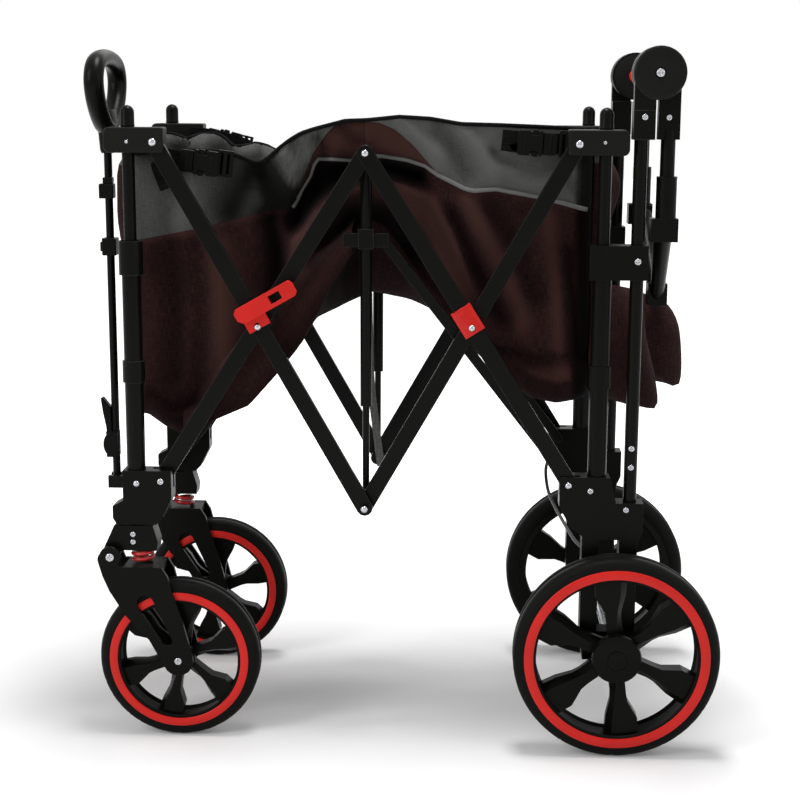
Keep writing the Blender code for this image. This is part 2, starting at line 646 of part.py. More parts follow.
def rear_bracket(label, side):
    """Lower rear casting: holds a short bar, both posts and the axle on two legs."""
    inboard = HALF_SPAN - LOW_INBOARD
    leg_x = [REAR_WHEEL_X + edge for edge in LEG_X]
    foot_z = REAR_AXLE_Z - LEG_FOOT
    plate_z = REAR_AXLE_Z + LEG_PLATE
    outline = [(inboard, LOW_Z + LOW_BRACKET_TOP), *moved(REAR_CASTING, POST_X, LOW_Z),
               (leg_x[3], LEG_TOP_Z), (leg_x[3], foot_z), (leg_x[0] + LEG_CHAMFER, foot_z),
               (leg_x[0], plate_z), *moved(REAR_CASTING_BACK, POST_X, LOW_Z),
               (inboard, LOW_Z + REAR_CASTING_TOE)]
    gap = [(leg_x[1], plate_z), (leg_x[2], plate_z), (leg_x[2], LEG_GAP_Z), (leg_x[1], LEG_GAP_Z)]
    y_low, y_high = BRACKET_Y
    body = plate(f"rear_lower_bracket_{label}", [outline, gap], side * (y_low + y_high) / 2,
                 y_high - y_low)
    y = side * POST_Y
    sleeve = rod("sleeve_hole", (POST_X, y, SLEEVE_BOTTOM_Z - GAP), (POST_X, y, SLEEVE_TOP_Z),
                 SLEEVE_R + GAP, sides=TUBE_SIDES)
    push = rod("push_hole", (PUSH_POST_X, y, PUSH_POST_BOTTOM_Z - GAP), (PUSH_POST_X, y, SLEEVE_TOP_Z),
               PUSH_POST_R + GAP)
    axle = cross_rod("axle_hole", (REAR_WHEEL_X, REAR_AXLE_Z), ACROSS, AXLE_R + GAP)
    slot = bracket_slot(side, 1, BAR_OUTER_Y)
    join(cut(body, slot, sleeve, push, axle), corner_pin(side, corner(1, LOW_Z)))
    return node(body, BLACK_PLASTIC)


def front_bracket(label, side):
    """Lower front casting: holds a short bar, the post and the caster's stem."""
    inboard = -(HALF_SPAN - LOW_INBOARD)
    foot = [(x, HEAD_TOP_Z - LOW_Z + HEAD_FIT) for x in FRONT_CASTING_FOOT]
    outline = [*moved([*FRONT_CASTING, *foot, FRONT_CASTING_BACK], -POST_X, LOW_Z),
               (inboard, LOW_Z + FRONT_CASTING_TOE), (inboard, LOW_Z + LOW_BRACKET_TOP)]
    y_low, y_high = BRACKET_Y
    body = plate(f"front_lower_bracket_{label}", [outline], side * (y_low + y_high) / 2,
                 y_high - y_low)
    y = side * POST_Y
    sleeve = rod("sleeve_hole", (-POST_X, y, SLEEVE_BOTTOM_Z - GAP), (-POST_X, y, SLEEVE_TOP_Z),
                 SLEEVE_R + GAP, sides=TUBE_SIDES)
    stem = rod("stem_hole", (-POST_X, y, HEAD_TOP_Z - THROUGH), (-POST_X, y, STEM_TOP_Z + GAP), STEM_R + GAP)
    slot = bracket_slot(side, -1, BAR_INNER_Y)
    join(cut(body, slot, sleeve, stem), corner_pin(side, corner(-1, LOW_Z)))
    return node(body, BLACK_PLASTIC)


# Centre posts and floor struts

def centre_tab(side, pivot):
    """The flat eye of a centre post."""
    return plate("tab", [circle(pivot, TAB_R, 14)], side * (TAB_Y[0] + TAB_Y[1]) / 2, TAB_Y[1] - TAB_Y[0])


def centre_upper(label, side):
    """Upper centre tube with its tab at the top pivot and the collar that carries two struts."""
    y = side * CENTRE_Y
    bottom = MID_LOW.z + CENTRE_STAY
    strut_z = MID_TOP.z - STRUT_DROP
    tube = rod(f"centre_post_upper_{label}", (0, y, bottom), (0, y, MID_TOP.z - TAB_R / 2), CENTRE_R)
    tab = centre_tab(side, MID_TOP)
    ring_y = from_side(side, (CENTRE_Y - CENTRE_R - RING_RIM, TAB_Y[1]))
    ring = block("ring", (-CENTRE_R - RING_RIM, ring_y[0], strut_z + RING_Z[0]),
                 (CENTRE_R + RING_RIM, ring_y[1], strut_z + RING_Z[1]))
    ear_low = CENTRE_Y + STRUT_T / 2 + GAP
    ear_y = from_side(side, (ear_low, ear_low + EAR_T))
    ear = block("ear", (-STRUT_X - EAR_SIDE, ear_y[0], strut_z - EAR_H),
                (STRUT_X + EAR_SIDE, ear_y[1], strut_z + EAR_H))
    bore = rod("bore", (0, y, bottom - THROUGH), (0, y, MID_TOP.z - CENTRE_BORE_STOP), CENTRE_BORE_R)
    hole = cross_rod("hole", MID_TOP, ACROSS, PIN_R + PIN_FIT, PIN_SIDES)
    cut(join(tube, tab, ring, ear), bore, hole)
    for end in (-1, 1):
        pin_y = from_side(side, (CENTRE_Y - STRUT_T / 2 + GAP, ear_low + EAR_T / 2))
        join(tube, cross_rod(f"strut_pin_{end}", (end * STRUT_X, strut_z), pin_y, PIN_R, PIN_SIDES))
    return node(tube, BLACK_STEEL)


def centre_lower(label, side):
    """Lower centre rod, which slides up the tube, with its tab at the bottom pivot."""
    y = side * CENTRE_Y
    body = rod(f"centre_post_lower_{label}", (0, y, MID_LOW.z + TAB_R / 2),
               (0, y, MID_LOW.z + CENTRE_ROD_LEN), CENTRE_ROD_R)
    tab = centre_tab(side, MID_LOW)
    hole = cross_rod("hole", MID_LOW, ACROSS, PIN_R + PIN_FIT, PIN_SIDES)
    return node(cut(join(body, tab), hole), BLACK_STEEL)


def floor_strut(label, side, end, word):
    """Flat strut from the centre collar to a lower corner, under the tub's floor."""
    top = Vector((end * STRUT_X, 0, MID_TOP.z - STRUT_DROP))
    foot = corner(end, LOW_Z) - top
    outlines = [stadium((0, 0), (foot.x, foot.z), STRUT_W / 2), circle((0, 0), PIN_R + PIN_FIT, PIN_SIDES)]
    made = plate(f"{word}_floor_strut_{label}", outlines, side * CENTRE_Y, STRUT_T,
                 at=(top.x, 0, top.z))
    return node(made, BLACK_STEEL)


# Push handle

def push_post(label, side):
    """Post behind the rear corner, with the fixed half of the handle's knob."""
    y = side * POST_Y
    post = rod(f"push_post_{label}", (PUSH_POST_X, y, PUSH_POST_BOTTOM_Z),
               (PUSH_POST_X, y, LEG_BOTTOM_Z + LEG_GRIP), PUSH_POST_R)
    leg_x = (PUSH_POST_X + LEG_SHIFT - LEG_W / 2, PUSH_POST_X + LEG_SHIFT + LEG_W / 2)
    disc_y = from_side(side, KNOB_OUTER_Y)
    leg_y = from_side(side, (POST_Y - POST_LEG_IN, KNOB_OUTER_Y[1] - 2 * STEP_IN))
    upper_y = from_side(side, (KNOB_OUTER_Y[0] + STEP_IN, KNOB_OUTER_Y[1] - STEP_IN))
    leg = block("leg", (leg_x[0], leg_y[0], LEG_BOTTOM_Z), (leg_x[1], leg_y[1], POST_LEG_TOP_Z))
    upper = block("upper", (leg_x[0], upper_y[0], POST_LEG_TOP_Z - LEG_GRIP), (leg_x[1], upper_y[1], KNOB[1]))
    disc = cross_rod("disc", KNOB, disc_y, KNOB_R, KNOB_SIDES)
    return node(join(post, leg, upper, disc), BLACK_PLASTIC)


def push_arm(label, side):
    """Folded handle arm: the turning half of the knob, a tube, its sleeve and a hinge block."""
    disc_y = from_side(side, KNOB_INNER_Y)
    y = side * ARM_Y
    arm = rod(f"push_arm_{label}", (ARM_X, y, ARM_SLEEVE_Z[1] - LEG_GRIP),
              (ARM_X, y, LEG_BOTTOM_Z + LEG_GRIP), ARM_R)
    leg_y = from_side(side, (KNOB_INNER_Y[0] + STEP_IN, KNOB_INNER_Y[1] - STEP_IN))
    leg = block("leg", (ARM_X - LEG_W / 2, leg_y[0], LEG_BOTTOM_Z), (ARM_X + LEG_W / 2, leg_y[1], KNOB[1]))
    disc = cross_rod("disc", KNOB, disc_y, KNOB_R, KNOB_SIDES)
    sleeve = rod("sleeve", (ARM_X, y, ARM_SLEEVE_Z[0] + HINGE_STEP), (ARM_X, y, ARM_SLEEVE_Z[1]),
                 ARM_SLEEVE_R)
    hinge_y = from_side(side, HINGE_BLOCK_Y)
    hinge = block("hinge", (HINGE_BLOCK_X[0], hinge_y[0], HINGE_BLOCK_Z[0]),
                  (HINGE_BLOCK_X[1], hinge_y[1], HINGE_BLOCK_Z[1]))
    seat_depth = BUTTON_SEAT + BUTTON_TRAVEL + SINK
    seat_y = from_side(side, (KNOB_INNER_Y[0] - THROUGH, KNOB_INNER_Y[0] + seat_depth))
    seat = cross_rod("seat", KNOB, seat_y, BUTTON_R + GAP)
    return node(cut(join(arm, leg, disc, sleeve, hinge), seat), BLACK_PLASTIC)


def push_grip():
    """The two halves of the grip, hanging in a V from the arms to a middle joint."""
    x, z = GRIP_CENTRE
    across, deep, high = GRIP_MIDDLE
    middle = block("push_grip", (x - across, -deep, z - high), (x + across, deep, z + high))
    lug_mid_z = sum(HINGE_BLOCK_Z) / 2
    for label, side in SIDES:
        lug_y = from_side(side, (HINGE_BLOCK_Y[0] - GAP - GRIP_LUG, HINGE_BLOCK_Y[0] - GAP))
        lug = block(f"lug_{label}", (GRIP_LUG_X[0], lug_y[0], HINGE_BLOCK_Z[0] + SINK),
                    (GRIP_LUG_X[1], lug_y[1], HINGE_BLOCK_Z[1] - SINK))
        half = rod(f"half_{label}", (sum(GRIP_LUG_X) / 2, lug_y[0] + side * SINK, lug_mid_z),
                   (x, side * GRIP_TAIL_Y, z), GRIP_R[0], GRIP_R[1], sides=GRIP_SIDES)
        join(middle, lug, half)
    return node(middle, BLACK_PLASTIC)


def push_button(label, side):
    """Red release button in the knob's inner face."""
    y_range = from_side(side, (KNOB_INNER_Y[0] - BUTTON_OUT, KNOB_INNER_Y[0] + BUTTON_SEAT))
    return node(cross_rod(f"push_button_{label}", KNOB, y_range, BUTTON_R), RED_PLASTIC)


# Wheels

def tyre(name, centre, radius, seat, width):
    """A tyre turned about its axle; its bottom facet lies on the floor."""
    half = width / 2
    inset, drop, tread_in, tread_drop = TYRE_SHOULDER
    profile = [(seat + GAP, half - inset), (radius - drop, half), (radius - tread_drop, half - tread_in),
               (radius, half * TREAD_SHARE)]
    full = profile + [(r, -h) for r, h in reversed(profile)]
    made = turned(name, full, centre, (0, 1, 0), WHEEL_STEPS, closed=True)
    made.rotation_euler.rotate_axis("Z", facet_turn(made))
    return node(made, TYRE_RUBBER)


def facet_turn(made):
    """How far to turn a wheel about its axle so that a facet faces straight down."""
    first = made.rotation_euler.to_matrix() @ Vector((1, 0, 0))
    second = made.rotation_euler.to_matrix() @ Vector((0, 1, 0))
    down = atan2(-second.z, -first.z)
    step = 2 * pi / WHEEL_STEPS
    return down - step / 2 - step * round((down - step / 2) / step)


def spoke_outline(turn, hub_r, rim_r):
    """One blade: narrow at the hub, with a kink before it widens to the rim."""
    radii = (hub_r * SPOKE_ROOT, hub_r + (rim_r - hub_r) * SPOKE_KINK, rim_r)
    widths = list(zip(radii, SPOKE_HALF_WIDTHS))
    right = [(r, -w) for r, w in widths]
    left = [(r, w * SPOKE_LEAN) for r, w in reversed(widths)]
    return [(r * cos(turn) - w * sin(turn), r * sin(turn) + w * cos(turn)) for r, w in right + left]


def rim(name, centre, seat, width, hub_r, hub_y, bore_r, bore_y, phase):
    """Wheel with a hub, six blades and a ring for the tyre."""
    inner = seat - RIM_DEPTH
    half = width / 2 - RIM_INSET
    ring = turned(name, [(seat, half), (seat, -half), (inner, -half), (inner, half)], centre,
                  (0, 1, 0), WHEEL_STEPS, closed=True)
    ring.rotation_euler.rotate_axis("Z", facet_turn(ring))
    hub = cross_rod("hub", centre, hub_y, hub_r, TUBE_SIDES)
    join(ring, hub)
    for number in range(SPOKES):
        outline = spoke_outline(phase + number * 2 * pi / SPOKES, hub_r, (inner + seat) / 2)
        join(ring, plate(f"spoke_{number}", [outline], centre[1], SPOKE_T, at=centre))
    cut(ring, cross_rod("bore", centre, bore_y, bore_r))
    return node(ring, BLACK_PLASTIC)


def rear_wheel(label, side):
    centre = (REAR_WHEEL_X, side * REAR_WHEEL_Y, REAR_AXLE_Z)
    tyre(f"rear_tyre_{label}", centre, REAR_R, REAR_RIM_R, REAR_WIDTH)
    face = REAR_WHEEL_Y + REAR_WIDTH / 2
    hub_y = from_side(side, (BRACKET_Y[1] + HUB_SIDE_FIT, face + HUB_PROUD))
    bore_y = from_side(side, (BRACKET_Y[1] - THROUGH, face - AXLE_SHORT + GAP))
    rim(f"rear_rim_{label}", centre, REAR_RIM_R, REAR_WIDTH, REAR_HUB_R, hub_y, AXLE_R + GAP, bore_y,
        REAR_SPOKE_TURN)


def rear_axle():
    """Cross tube between the rear castings with the two wheel stubs."""
    inner = BRACKET_Y[0] - GAP
    face = REAR_WHEEL_Y + REAR_WIDTH / 2 - AXLE_SHORT
    at = (REAR_WHEEL_X, REAR_AXLE_Z)
    tube = cross_rod("rear_axle", at, (-inner, inner), AXLE_TUBE_R)
    return node(join(tube, cross_rod("stubs", at, (-face, face), AXLE_R)), BARE_STEEL)


# Casters

def caster_head(label, side):
    """Swivelling head with the stem above and the suspension pivot at its front."""
    y = side * POST_Y
    boss = circle(ARM_PIVOT, ARM_BOSS_R, 10, radians(140), radians(190))
    back = moved(HEAD_BACK, -POST_X, HEAD_UNDER_Z)
    crown = [(x - POST_X, HEAD_TOP_Z) for x in HEAD_CROWN]
    outline = [*back, *crown, *boss, *moved(HEAD_FRONT, -POST_X, HEAD_UNDER_Z)]
    body = plate(f"caster_head_{label}", [outline], y, HEAD_T)
    stem = rod("stem", (-POST_X, y, HEAD_TOP_Z - STEM_ROOT), (-POST_X, y, STEM_TOP_Z), STEM_R)
    hole = cross_rod("pivot_hole", ARM_PIVOT, ACROSS, PIN_R + PIN_FIT, PIN_SIDES)
    return node(cut(join(body, stem), hole), BLACK_PLASTIC)


def fork_outline():
    """Side view of a fork plate: round the suspension pivot and down to the axle."""
    top = circle(ARM_PIVOT, FORK_EYE_R, 8, radians(60), radians(140))
    foot = circle((FRONT_AXLE_X, FRONT_AXLE_Z), FORK_FOOT_R, 8, radians(200), radians(180))
    crown = [(ARM_PIVOT[0] + x, BRIDGE_Z[1]) for x in FORK_CROWN]
    return [*top, *moved(FORK_FRONT, *ARM_PIVOT), *foot, *moved(FORK_BACK, *ARM_PIVOT), *crown]


def caster_fork(label, side):
    """Sprung fork: two plates with a window, a bridge under the spring, pivot and axle pins."""
    y = side * POST_Y
    inner = FRONT_WIDTH / 2 + FORK_SIDE_FIT
    outer = inner + FORK_PLATE_T
    window = []
    for (x, z, radius), turn in zip(FORK_WINDOW, (FORK_LEAN, FORK_LEAN + pi)):
        window += circle((ARM_PIVOT[0] + x, ARM_PIVOT[1] + z), radius, 6, turn, pi)
    plates = [plate(f"caster_fork_{label}" if k < 0 else "fork_plate", [fork_outline(), window],
                    y + k * (inner + outer) / 2, FORK_PLATE_T) for k in (-1, 1)]
    across = (y - outer + SINK, y + outer - SINK)
    bridge = block("bridge", (BRIDGE_X[0], across[0], BRIDGE_Z[0]),
                   (BRIDGE_X[1], across[1], BRIDGE_Z[1] - GAP))
    pivot = cross_rod("pivot", ARM_PIVOT, across, PIN_R, PIN_SIDES)
    axle = cross_rod("axle", (FRONT_AXLE_X, FRONT_AXLE_Z), across, FRONT_AXLE_R)
    bosses = [cross_rod(f"boss_{k}", ARM_PIVOT, (y + k * (HEAD_T / 2 + GAP), y + k * (inner + SINK)),
                        FORK_BOSS_R, GRIP_SIDES) for k in (-1, 1)]
    return node(join(plates[0], bridge, plates[1], pivot, axle, *bosses), BLACK_PLASTIC)


def caster_spring(label, side):
    """Red coil between the head and the fork's bridge, one unbroken wire."""
    low = BRIDGE_Z[1] + SPRING_WIRE_R + GAP
    high = HEAD_UNDER_Z - SPRING_WIRE_R - GAP
    count = int(SPRING_TURNS * SPRING_POINTS)
    points = []
    for i in range(count + 1):
        angle = 2 * pi * i / SPRING_POINTS
        points.append((SPRING_X + SPRING_R * cos(angle), side * POST_Y + SPRING_R * sin(angle),
                       low + (high - low) * i / count))
    pitch = (high - low) / SPRING_TURNS
    print("caster spring, least gap between curls:", round(pitch - 2 * SPRING_WIRE_R, 5), "m")
    return node(pipe(f"caster_spring_{label}", points, SPRING_WIRE_R, 1), RED_STEEL)


def front_wheel(label, side):
    y = side * POST_Y
    centre = (FRONT_AXLE_X, y, FRONT_AXLE_Z)
    tyre(f"front_tyre_{label}", centre, FRONT_R, FRONT_RIM_R, FRONT_WIDTH)
    half = FRONT_WIDTH / 2 + FORK_SIDE_FIT - FRONT_HUB_FIT
    rim(f"front_rim_{label}", centre, FRONT_RIM_R, FRONT_WIDTH, FRONT_HUB_R, (y - half, y + half),
        FRONT_AXLE_R + GAP, (y - FRONT_R, y + FRONT_R), FRONT_SPOKE_TURN)


# Pull handle

def front_cross():
    """Tube between the front castings, with the two ears that hold the pull handle's foot."""
    inner = BRACKET_Y[0] - GAP
    tube = cross_rod("front_cross_tube", (-POST_X, CROSS_Z), (-inner, inner), CROSS_R)
    ears = block("ears", (PULL_X - EAR_BLOCK_X, -EAR_BLOCK_Y, CROSS_Z - EAR_BLOCK_H),
                 (-POST_X, EAR_BLOCK_Y, CROSS_Z + EAR_BLOCK_H))
    slot_half = KNUCKLE_T / 2 + SLOT_FIT
    slot = block("slot", (PULL_X - EAR_BLOCK_X - THROUGH, -slot_half, CROSS_Z - EAR_BLOCK_H - THROUGH),
                 (PULL_X + EAR_SLOT, slot_half, CROSS_Z + EAR_BLOCK_H + THROUGH))
    pin = cross_rod("pin", (PULL_X, CROSS_Z), (-EAR_BLOCK_Y + SINK, EAR_BLOCK_Y - SINK), PIN_R, PIN_SIDES)
    return node(join(cut(join(tube, ears), slot), pin), BLACK_STEEL)


def pull_handle():
    """Pole with its knuckle, clamp, lever and clips, and the loop grip across the top."""
    pole = rod("pull_handle", (PULL_X, 0, CROSS_Z + POLE_ROOT), (PULL_X, 0, POLE_TOP_Z), POLE_R)
    knuckle = plate("knuckle", [circle((PULL_X, CROSS_Z), KNUCKLE_R, 14)], 0, KNUCKLE_T)
    fittings = []
    for name, (low, high), up in (("clamp", CLAMP_BOX, CROSS_Z), ("lever", LEVER_BOX, CROSS_Z),
                                  ("clip", CLIP_BOX, TOP_Z), ("stop", STOP_BOX, TOP_Z)):
        at = Vector((PULL_X, 0, up))
        fittings.append(block(name, Vector(low) + at, Vector(high) + at))
    width, top, corner_r = GRIP_HALF_W, GRIP_TOP_Z, GRIP_CORNER_R
    (foot_w, foot_z), (neck_w, neck_z), (shoulder, inner_shoulder, notch) = GRIP_NECK
    side_in = GRIP_SLOPE + SINK
    outer = [(-foot_w, POLE_TOP_Z + foot_z), (foot_w, POLE_TOP_Z + foot_z), (neck_w, POLE_TOP_Z + neck_z),
             (width - side_in, POLE_TOP_Z + shoulder),
             *circle((width - corner_r, top - corner_r), corner_r, 6, 0, pi / 2),
             *circle((-width + corner_r, top - corner_r), corner_r, 6, pi / 2, pi / 2),
             (-width + side_in, POLE_TOP_Z + shoulder), (-neck_w, POLE_TOP_Z + neck_z)]
    inset = width - GRIP_BAR
    inner_r = corner_r - GRIP_BAR / 2
    inner_in = inset - GRIP_SLOPE
    inner = [(inner_in, POLE_TOP_Z + inner_shoulder),
             *circle((inset - inner_r, top - GRIP_BAR - inner_r), inner_r, 4, 0, pi / 2),
             *circle((-inset + inner_r, top - GRIP_BAR - inner_r), inner_r, 4, pi / 2, pi / 2),
             (-inner_in, POLE_TOP_Z + inner_shoulder), (0, POLE_TOP_Z + notch)]
    loop = plate("loop", [outer, inner], PULL_X, GRIP_DEPTH, normal="X")
    hole = cross_rod("hole", (PULL_X, CROSS_Z), ACROSS, PIN_R + PIN_FIT, PIN_SIDES)
    return node(cut(join(pole, knuckle, *fittings, loop), hole), BLACK_PLASTIC)


# Latch

def latch():
    """Red catch on the near front crossing: a riveted base and a lever with a window."""
    pivot = crossing(-1)
    lean = atan2(HALF_SPAN, LONG_DROP)

    def placed(points):
        return [(u * cos(lean) - v * sin(lean), u * sin(lean) + v * cos(lean)) for u, v in points]

    base = plate("frame_latch", [placed(LATCH_BASE), circle((0, 0), PIN_R + PIN_FIT, PIN_SIDES)],
                 -sum(LATCH_Y) / 2, LATCH_Y[1] - LATCH_Y[0], at=(pivot.x, 0, pivot.z))
    lever = plate("lever", [placed(LATCH_LEVER), placed(LATCH_WINDOW)],
                  -sum(LEVER_Y) / 2, LEVER_Y[1] - LEVER_Y[0], at=(pivot.x, 0, pivot.z))
    return node(join(base, lever), RED_PLASTIC)


# Brake cable

def brake_cable():
    """Thin cable from the far rear casting to the near one, under the tub."""
    face = BRACKET_Y[0] - GAP
    knots = [Vector((POST_X + x, y, LOW_Z + z)) for x, y, z in CABLE_KNOTS]
    first, last = knots[0].copy(), knots[-1].copy()
    first.y, last.y = face, -face
    return node(pipe("brake_cable", [first, *smooth_points(knots, 3), last], CABLE_R), CABLE)


def smooth_points(knots, share):
    """Points on a smooth curve through the knots."""
    ends = [2 * knots[0] - knots[1], *knots, 2 * knots[-1] - knots[-2]]
    points = []
    for i in range(1, len(ends) - 2):
        a, b, c, d = ends[i - 1:i + 3]
        for step in range(share):
            t = step / share
            points.append(0.5 * (2 * b + (c - a) * t + (2 * a - 5 * b + 4 * c - d) * t ** 2
                                 + (3 * b - a - 3 * c + d) * t ** 3))
    return points + [knots[-1]]


# Fabric tub

def tub_half(name, stations, end_x, outer_y, lift):
    """Half of the tub: an open loft of U-shaped sections, closed at its outer end, with thickness."""
    shell = bmesh.new()
    rows = []
    for part, near_rim, far_rim, floor, middle, swell in stations:
        x = part * end_x
        y = outer_y + swell
        near_top, far_top = TOP_Z + near_rim, TOP_Z + far_rim
        low = LOW_Z + floor + lift
        near_mid = (near_top + low) / 2
        far_mid = (far_top + low) / 2
        section = [(-outer_y, near_top), (-y, near_mid), (-y, low + FLOOR_ROUND),
                   (-y + FLOOR_ROUND / 2, low), (0, LOW_Z + middle + lift), (y - FLOOR_ROUND / 2, low),
                   (y, low + FLOOR_ROUND), (y, far_mid), (outer_y, far_top)]
        rows.append([shell.verts.new((x, across, up)) for across, up in section])
    for near, far in zip(rows, rows[1:]):
        for i in range(len(near) - 1):
            shell.faces.new((near[i], near[i + 1], far[i + 1], far[i]))
    last = rows[-1]
    for i in range(4):
        k = len(last) - 1 - i
        corners = [last[i], last[i + 1], last[k - 1], last[k]]
        shell.faces.new(list(dict.fromkeys(corners)))
    bmesh.ops.recalc_face_normals(shell, faces=shell.faces)
    mesh = bpy.data.meshes.new(name)
    shell.to_mesh(mesh)
    shell.free()
    made = add_object(name, mesh)
    skin = made.modifiers.new("cloth", "SOLIDIFY")
    skin.thickness = CLOTH_T
    skin.offset = -1
    skin.use_even_offset = True
    return made


def tub():
    """The fabric tub in two halves that lap at the middle: floor raised there by the fold."""
    rear_half = tub_half("tub_rear", REAR_STATIONS, TUB_REAR_X, TUB_Y, 0)
    front_half = tub_half("tub_front", FRONT_STATIONS, -TUB_FRONT_X, TUB_Y - NEST, NEST)
    node(join(rear_half, *rear_flaps(), *corner_tabs(1, TUB_Y)), FABRIC)
    node(join(front_half, *corner_tabs(-1, TUB_Y - NEST)), FABRIC)


def corner_tabs(end, outer_y):
    """Folded webbing at an end's two corners, from the cloth to the inner faces of the brackets."""
    tabs = []
    for label, side in SIDES:
        y_range = from_side(side, (outer_y - CLOTH_T / 2, BRACKET_Y[0] - GAP))
        low, high = (TOP_Z + z for z in TAB_Z[end])
        tabs.append(block(f"tab_{label}", (end * (HALF_SPAN - TAB_ROOT), y_range[0], low),
                          (end * (HALF_SPAN - TAB_ROOT + TAB_LEN), y_range[1], high)))
    return tabs


def rear_flaps():
    """The rear pocket hangs behind the posts in two folded lobes, one longer than the other."""
    return [plate(name, [moved(lobe, POST_X, LOW_Z)], y, LOBE_T)
            for name, lobe, y in (("near_lobe", NEAR_LOBE, -LOBE_Y), ("far_lobe", FAR_LOBE, LOBE_Y))]


def build():
    """Every sub-part of the wagon."""
    scissor_bars()
    for label, side in SIDES:
        for end, word in ((-1, "front"), (1, "rear")):
            top_bracket(label, side, end, word)
            post_rod(label, side, end, word)
            floor_strut(label, side, end, word)
        front_sleeve(label, side)
        rear_sleeve(label, side)
        rear_bracket(label, side)
        front_bracket(label, side)
        centre_upper(label, side)
        centre_lower(label, side)
        push_post(label, side)
        push_arm(label, side)
        push_button(label, side)
        rear_wheel(label, side)
        caster_head(label, side)
        caster_fork(label, side)
        caster_spring(label, side)
        front_wheel(label, side)
    push_grip()
    rear_axle()
    front_cross()
    pull_handle()
    latch()
    brake_cable()
    tub()


build()
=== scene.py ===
# %% [markdown]
# # A half-folded pull wagon
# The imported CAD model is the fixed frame: steel scissor bars, corner posts, castings and wheels.
# This lesson dresses it: painted steel, moulded plastic, rubber, and above all the cloth tub.
# All sizes are metres. X runs to the push handle, Y away from the near side, Z up.

# %% Load the frame
import json
from math import cos, pi, radians, sin, sqrt

import bmesh
import bpy
import numpy as np
from mathutils import Matrix, Vector, noise


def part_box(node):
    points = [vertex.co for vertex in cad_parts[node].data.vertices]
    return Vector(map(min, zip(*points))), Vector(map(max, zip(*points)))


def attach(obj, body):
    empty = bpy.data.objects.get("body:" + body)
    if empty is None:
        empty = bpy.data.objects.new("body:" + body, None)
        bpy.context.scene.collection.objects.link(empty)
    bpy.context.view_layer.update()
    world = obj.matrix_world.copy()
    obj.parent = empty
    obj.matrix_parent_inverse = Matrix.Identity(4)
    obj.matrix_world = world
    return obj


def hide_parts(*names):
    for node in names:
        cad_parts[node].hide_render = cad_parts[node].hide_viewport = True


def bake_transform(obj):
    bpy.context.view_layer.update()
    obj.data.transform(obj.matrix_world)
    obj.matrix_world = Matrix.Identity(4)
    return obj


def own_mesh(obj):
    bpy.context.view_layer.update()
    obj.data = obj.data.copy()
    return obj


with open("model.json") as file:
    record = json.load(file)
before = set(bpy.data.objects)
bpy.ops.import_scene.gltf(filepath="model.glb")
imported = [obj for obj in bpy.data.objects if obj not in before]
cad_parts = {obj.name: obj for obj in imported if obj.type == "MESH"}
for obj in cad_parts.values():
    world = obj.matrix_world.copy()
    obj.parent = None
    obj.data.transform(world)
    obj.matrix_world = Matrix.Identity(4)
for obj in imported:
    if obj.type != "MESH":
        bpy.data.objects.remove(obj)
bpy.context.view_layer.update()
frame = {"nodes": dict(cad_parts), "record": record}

FOLD_X = -0.040            # X of the middle pivots; the places below are counted from there
SIDES = (("near", -1), ("far", 1))

# %% [markdown]
# ## Camera
# The photograph was taken with a long lens from slightly above and a little to the right of the
# fold. A camera fitted to pivots, posts and wheel outlines gave its place, its tilt and its
# focal length, so the render lines up with the photograph without any shift.

# %% Place the camera
CAMERA_AT = Vector((0.12177 + FOLD_X, -1.99265, 0.77494))
PITCH_DOWN, YAW, ROLL = 0.188, -0.0433, 0.0051
FOCAL_PIXELS, PICTURE_PIXELS, SENSOR_MM = 1584.84, 800, 36

forward = Vector((sin(YAW) * cos(PITCH_DOWN), cos(YAW) * cos(PITCH_DOWN), -sin(PITCH_DOWN)))
level = Vector((cos(YAW), -sin(YAW), 0))
above = level.cross(forward)
right = level * cos(ROLL) + above * sin(ROLL)
camera = bpy.data.objects.new("camera", bpy.data.cameras.new("camera"))
bpy.context.scene.collection.objects.link(camera)
camera.data.sensor_width = SENSOR_MM
camera.data.lens = FOCAL_PIXELS * SENSOR_MM / PICTURE_PIXELS
turn = Matrix((right, right.cross(forward), -forward)).transposed()
camera.matrix_world = Matrix.Translation(CAMERA_AT) @ turn.to_4x4()
bpy.context.scene.camera = camera
print("lens:", round(camera.data.lens, 1), "mm")

# %% [markdown]
# ## Floor and light
# A product shot on white: the floor keeps a soft shadow under the wagon and runs into a white
# world. Large area lamps give the long soft highlights along the tubes. The floor's paint adds
# a little of its own light for the camera only, so it reads as white without brighter lamps.

# %% Build the floor
def adder(tree):
    """A helper that adds a node to a tree, with its values and links."""
    def add(kind, values=None, **settings):
        made = tree.nodes.new(kind)
        for key, value in settings.items():
            setattr(made, key, value)
        for key, value in (values or {}).items():
            socket = made.inputs[key]
            if isinstance(value, bpy.types.NodeSocket):
                tree.links.new(value, socket)
            else:
                socket.default_value = value
        return made
    return add


def nodes_of(owner):
    """An empty node tree, and its helper."""
    owner.use_nodes = True
    tree = owner.node_tree
    tree.nodes.clear()
    return tree, adder(tree)


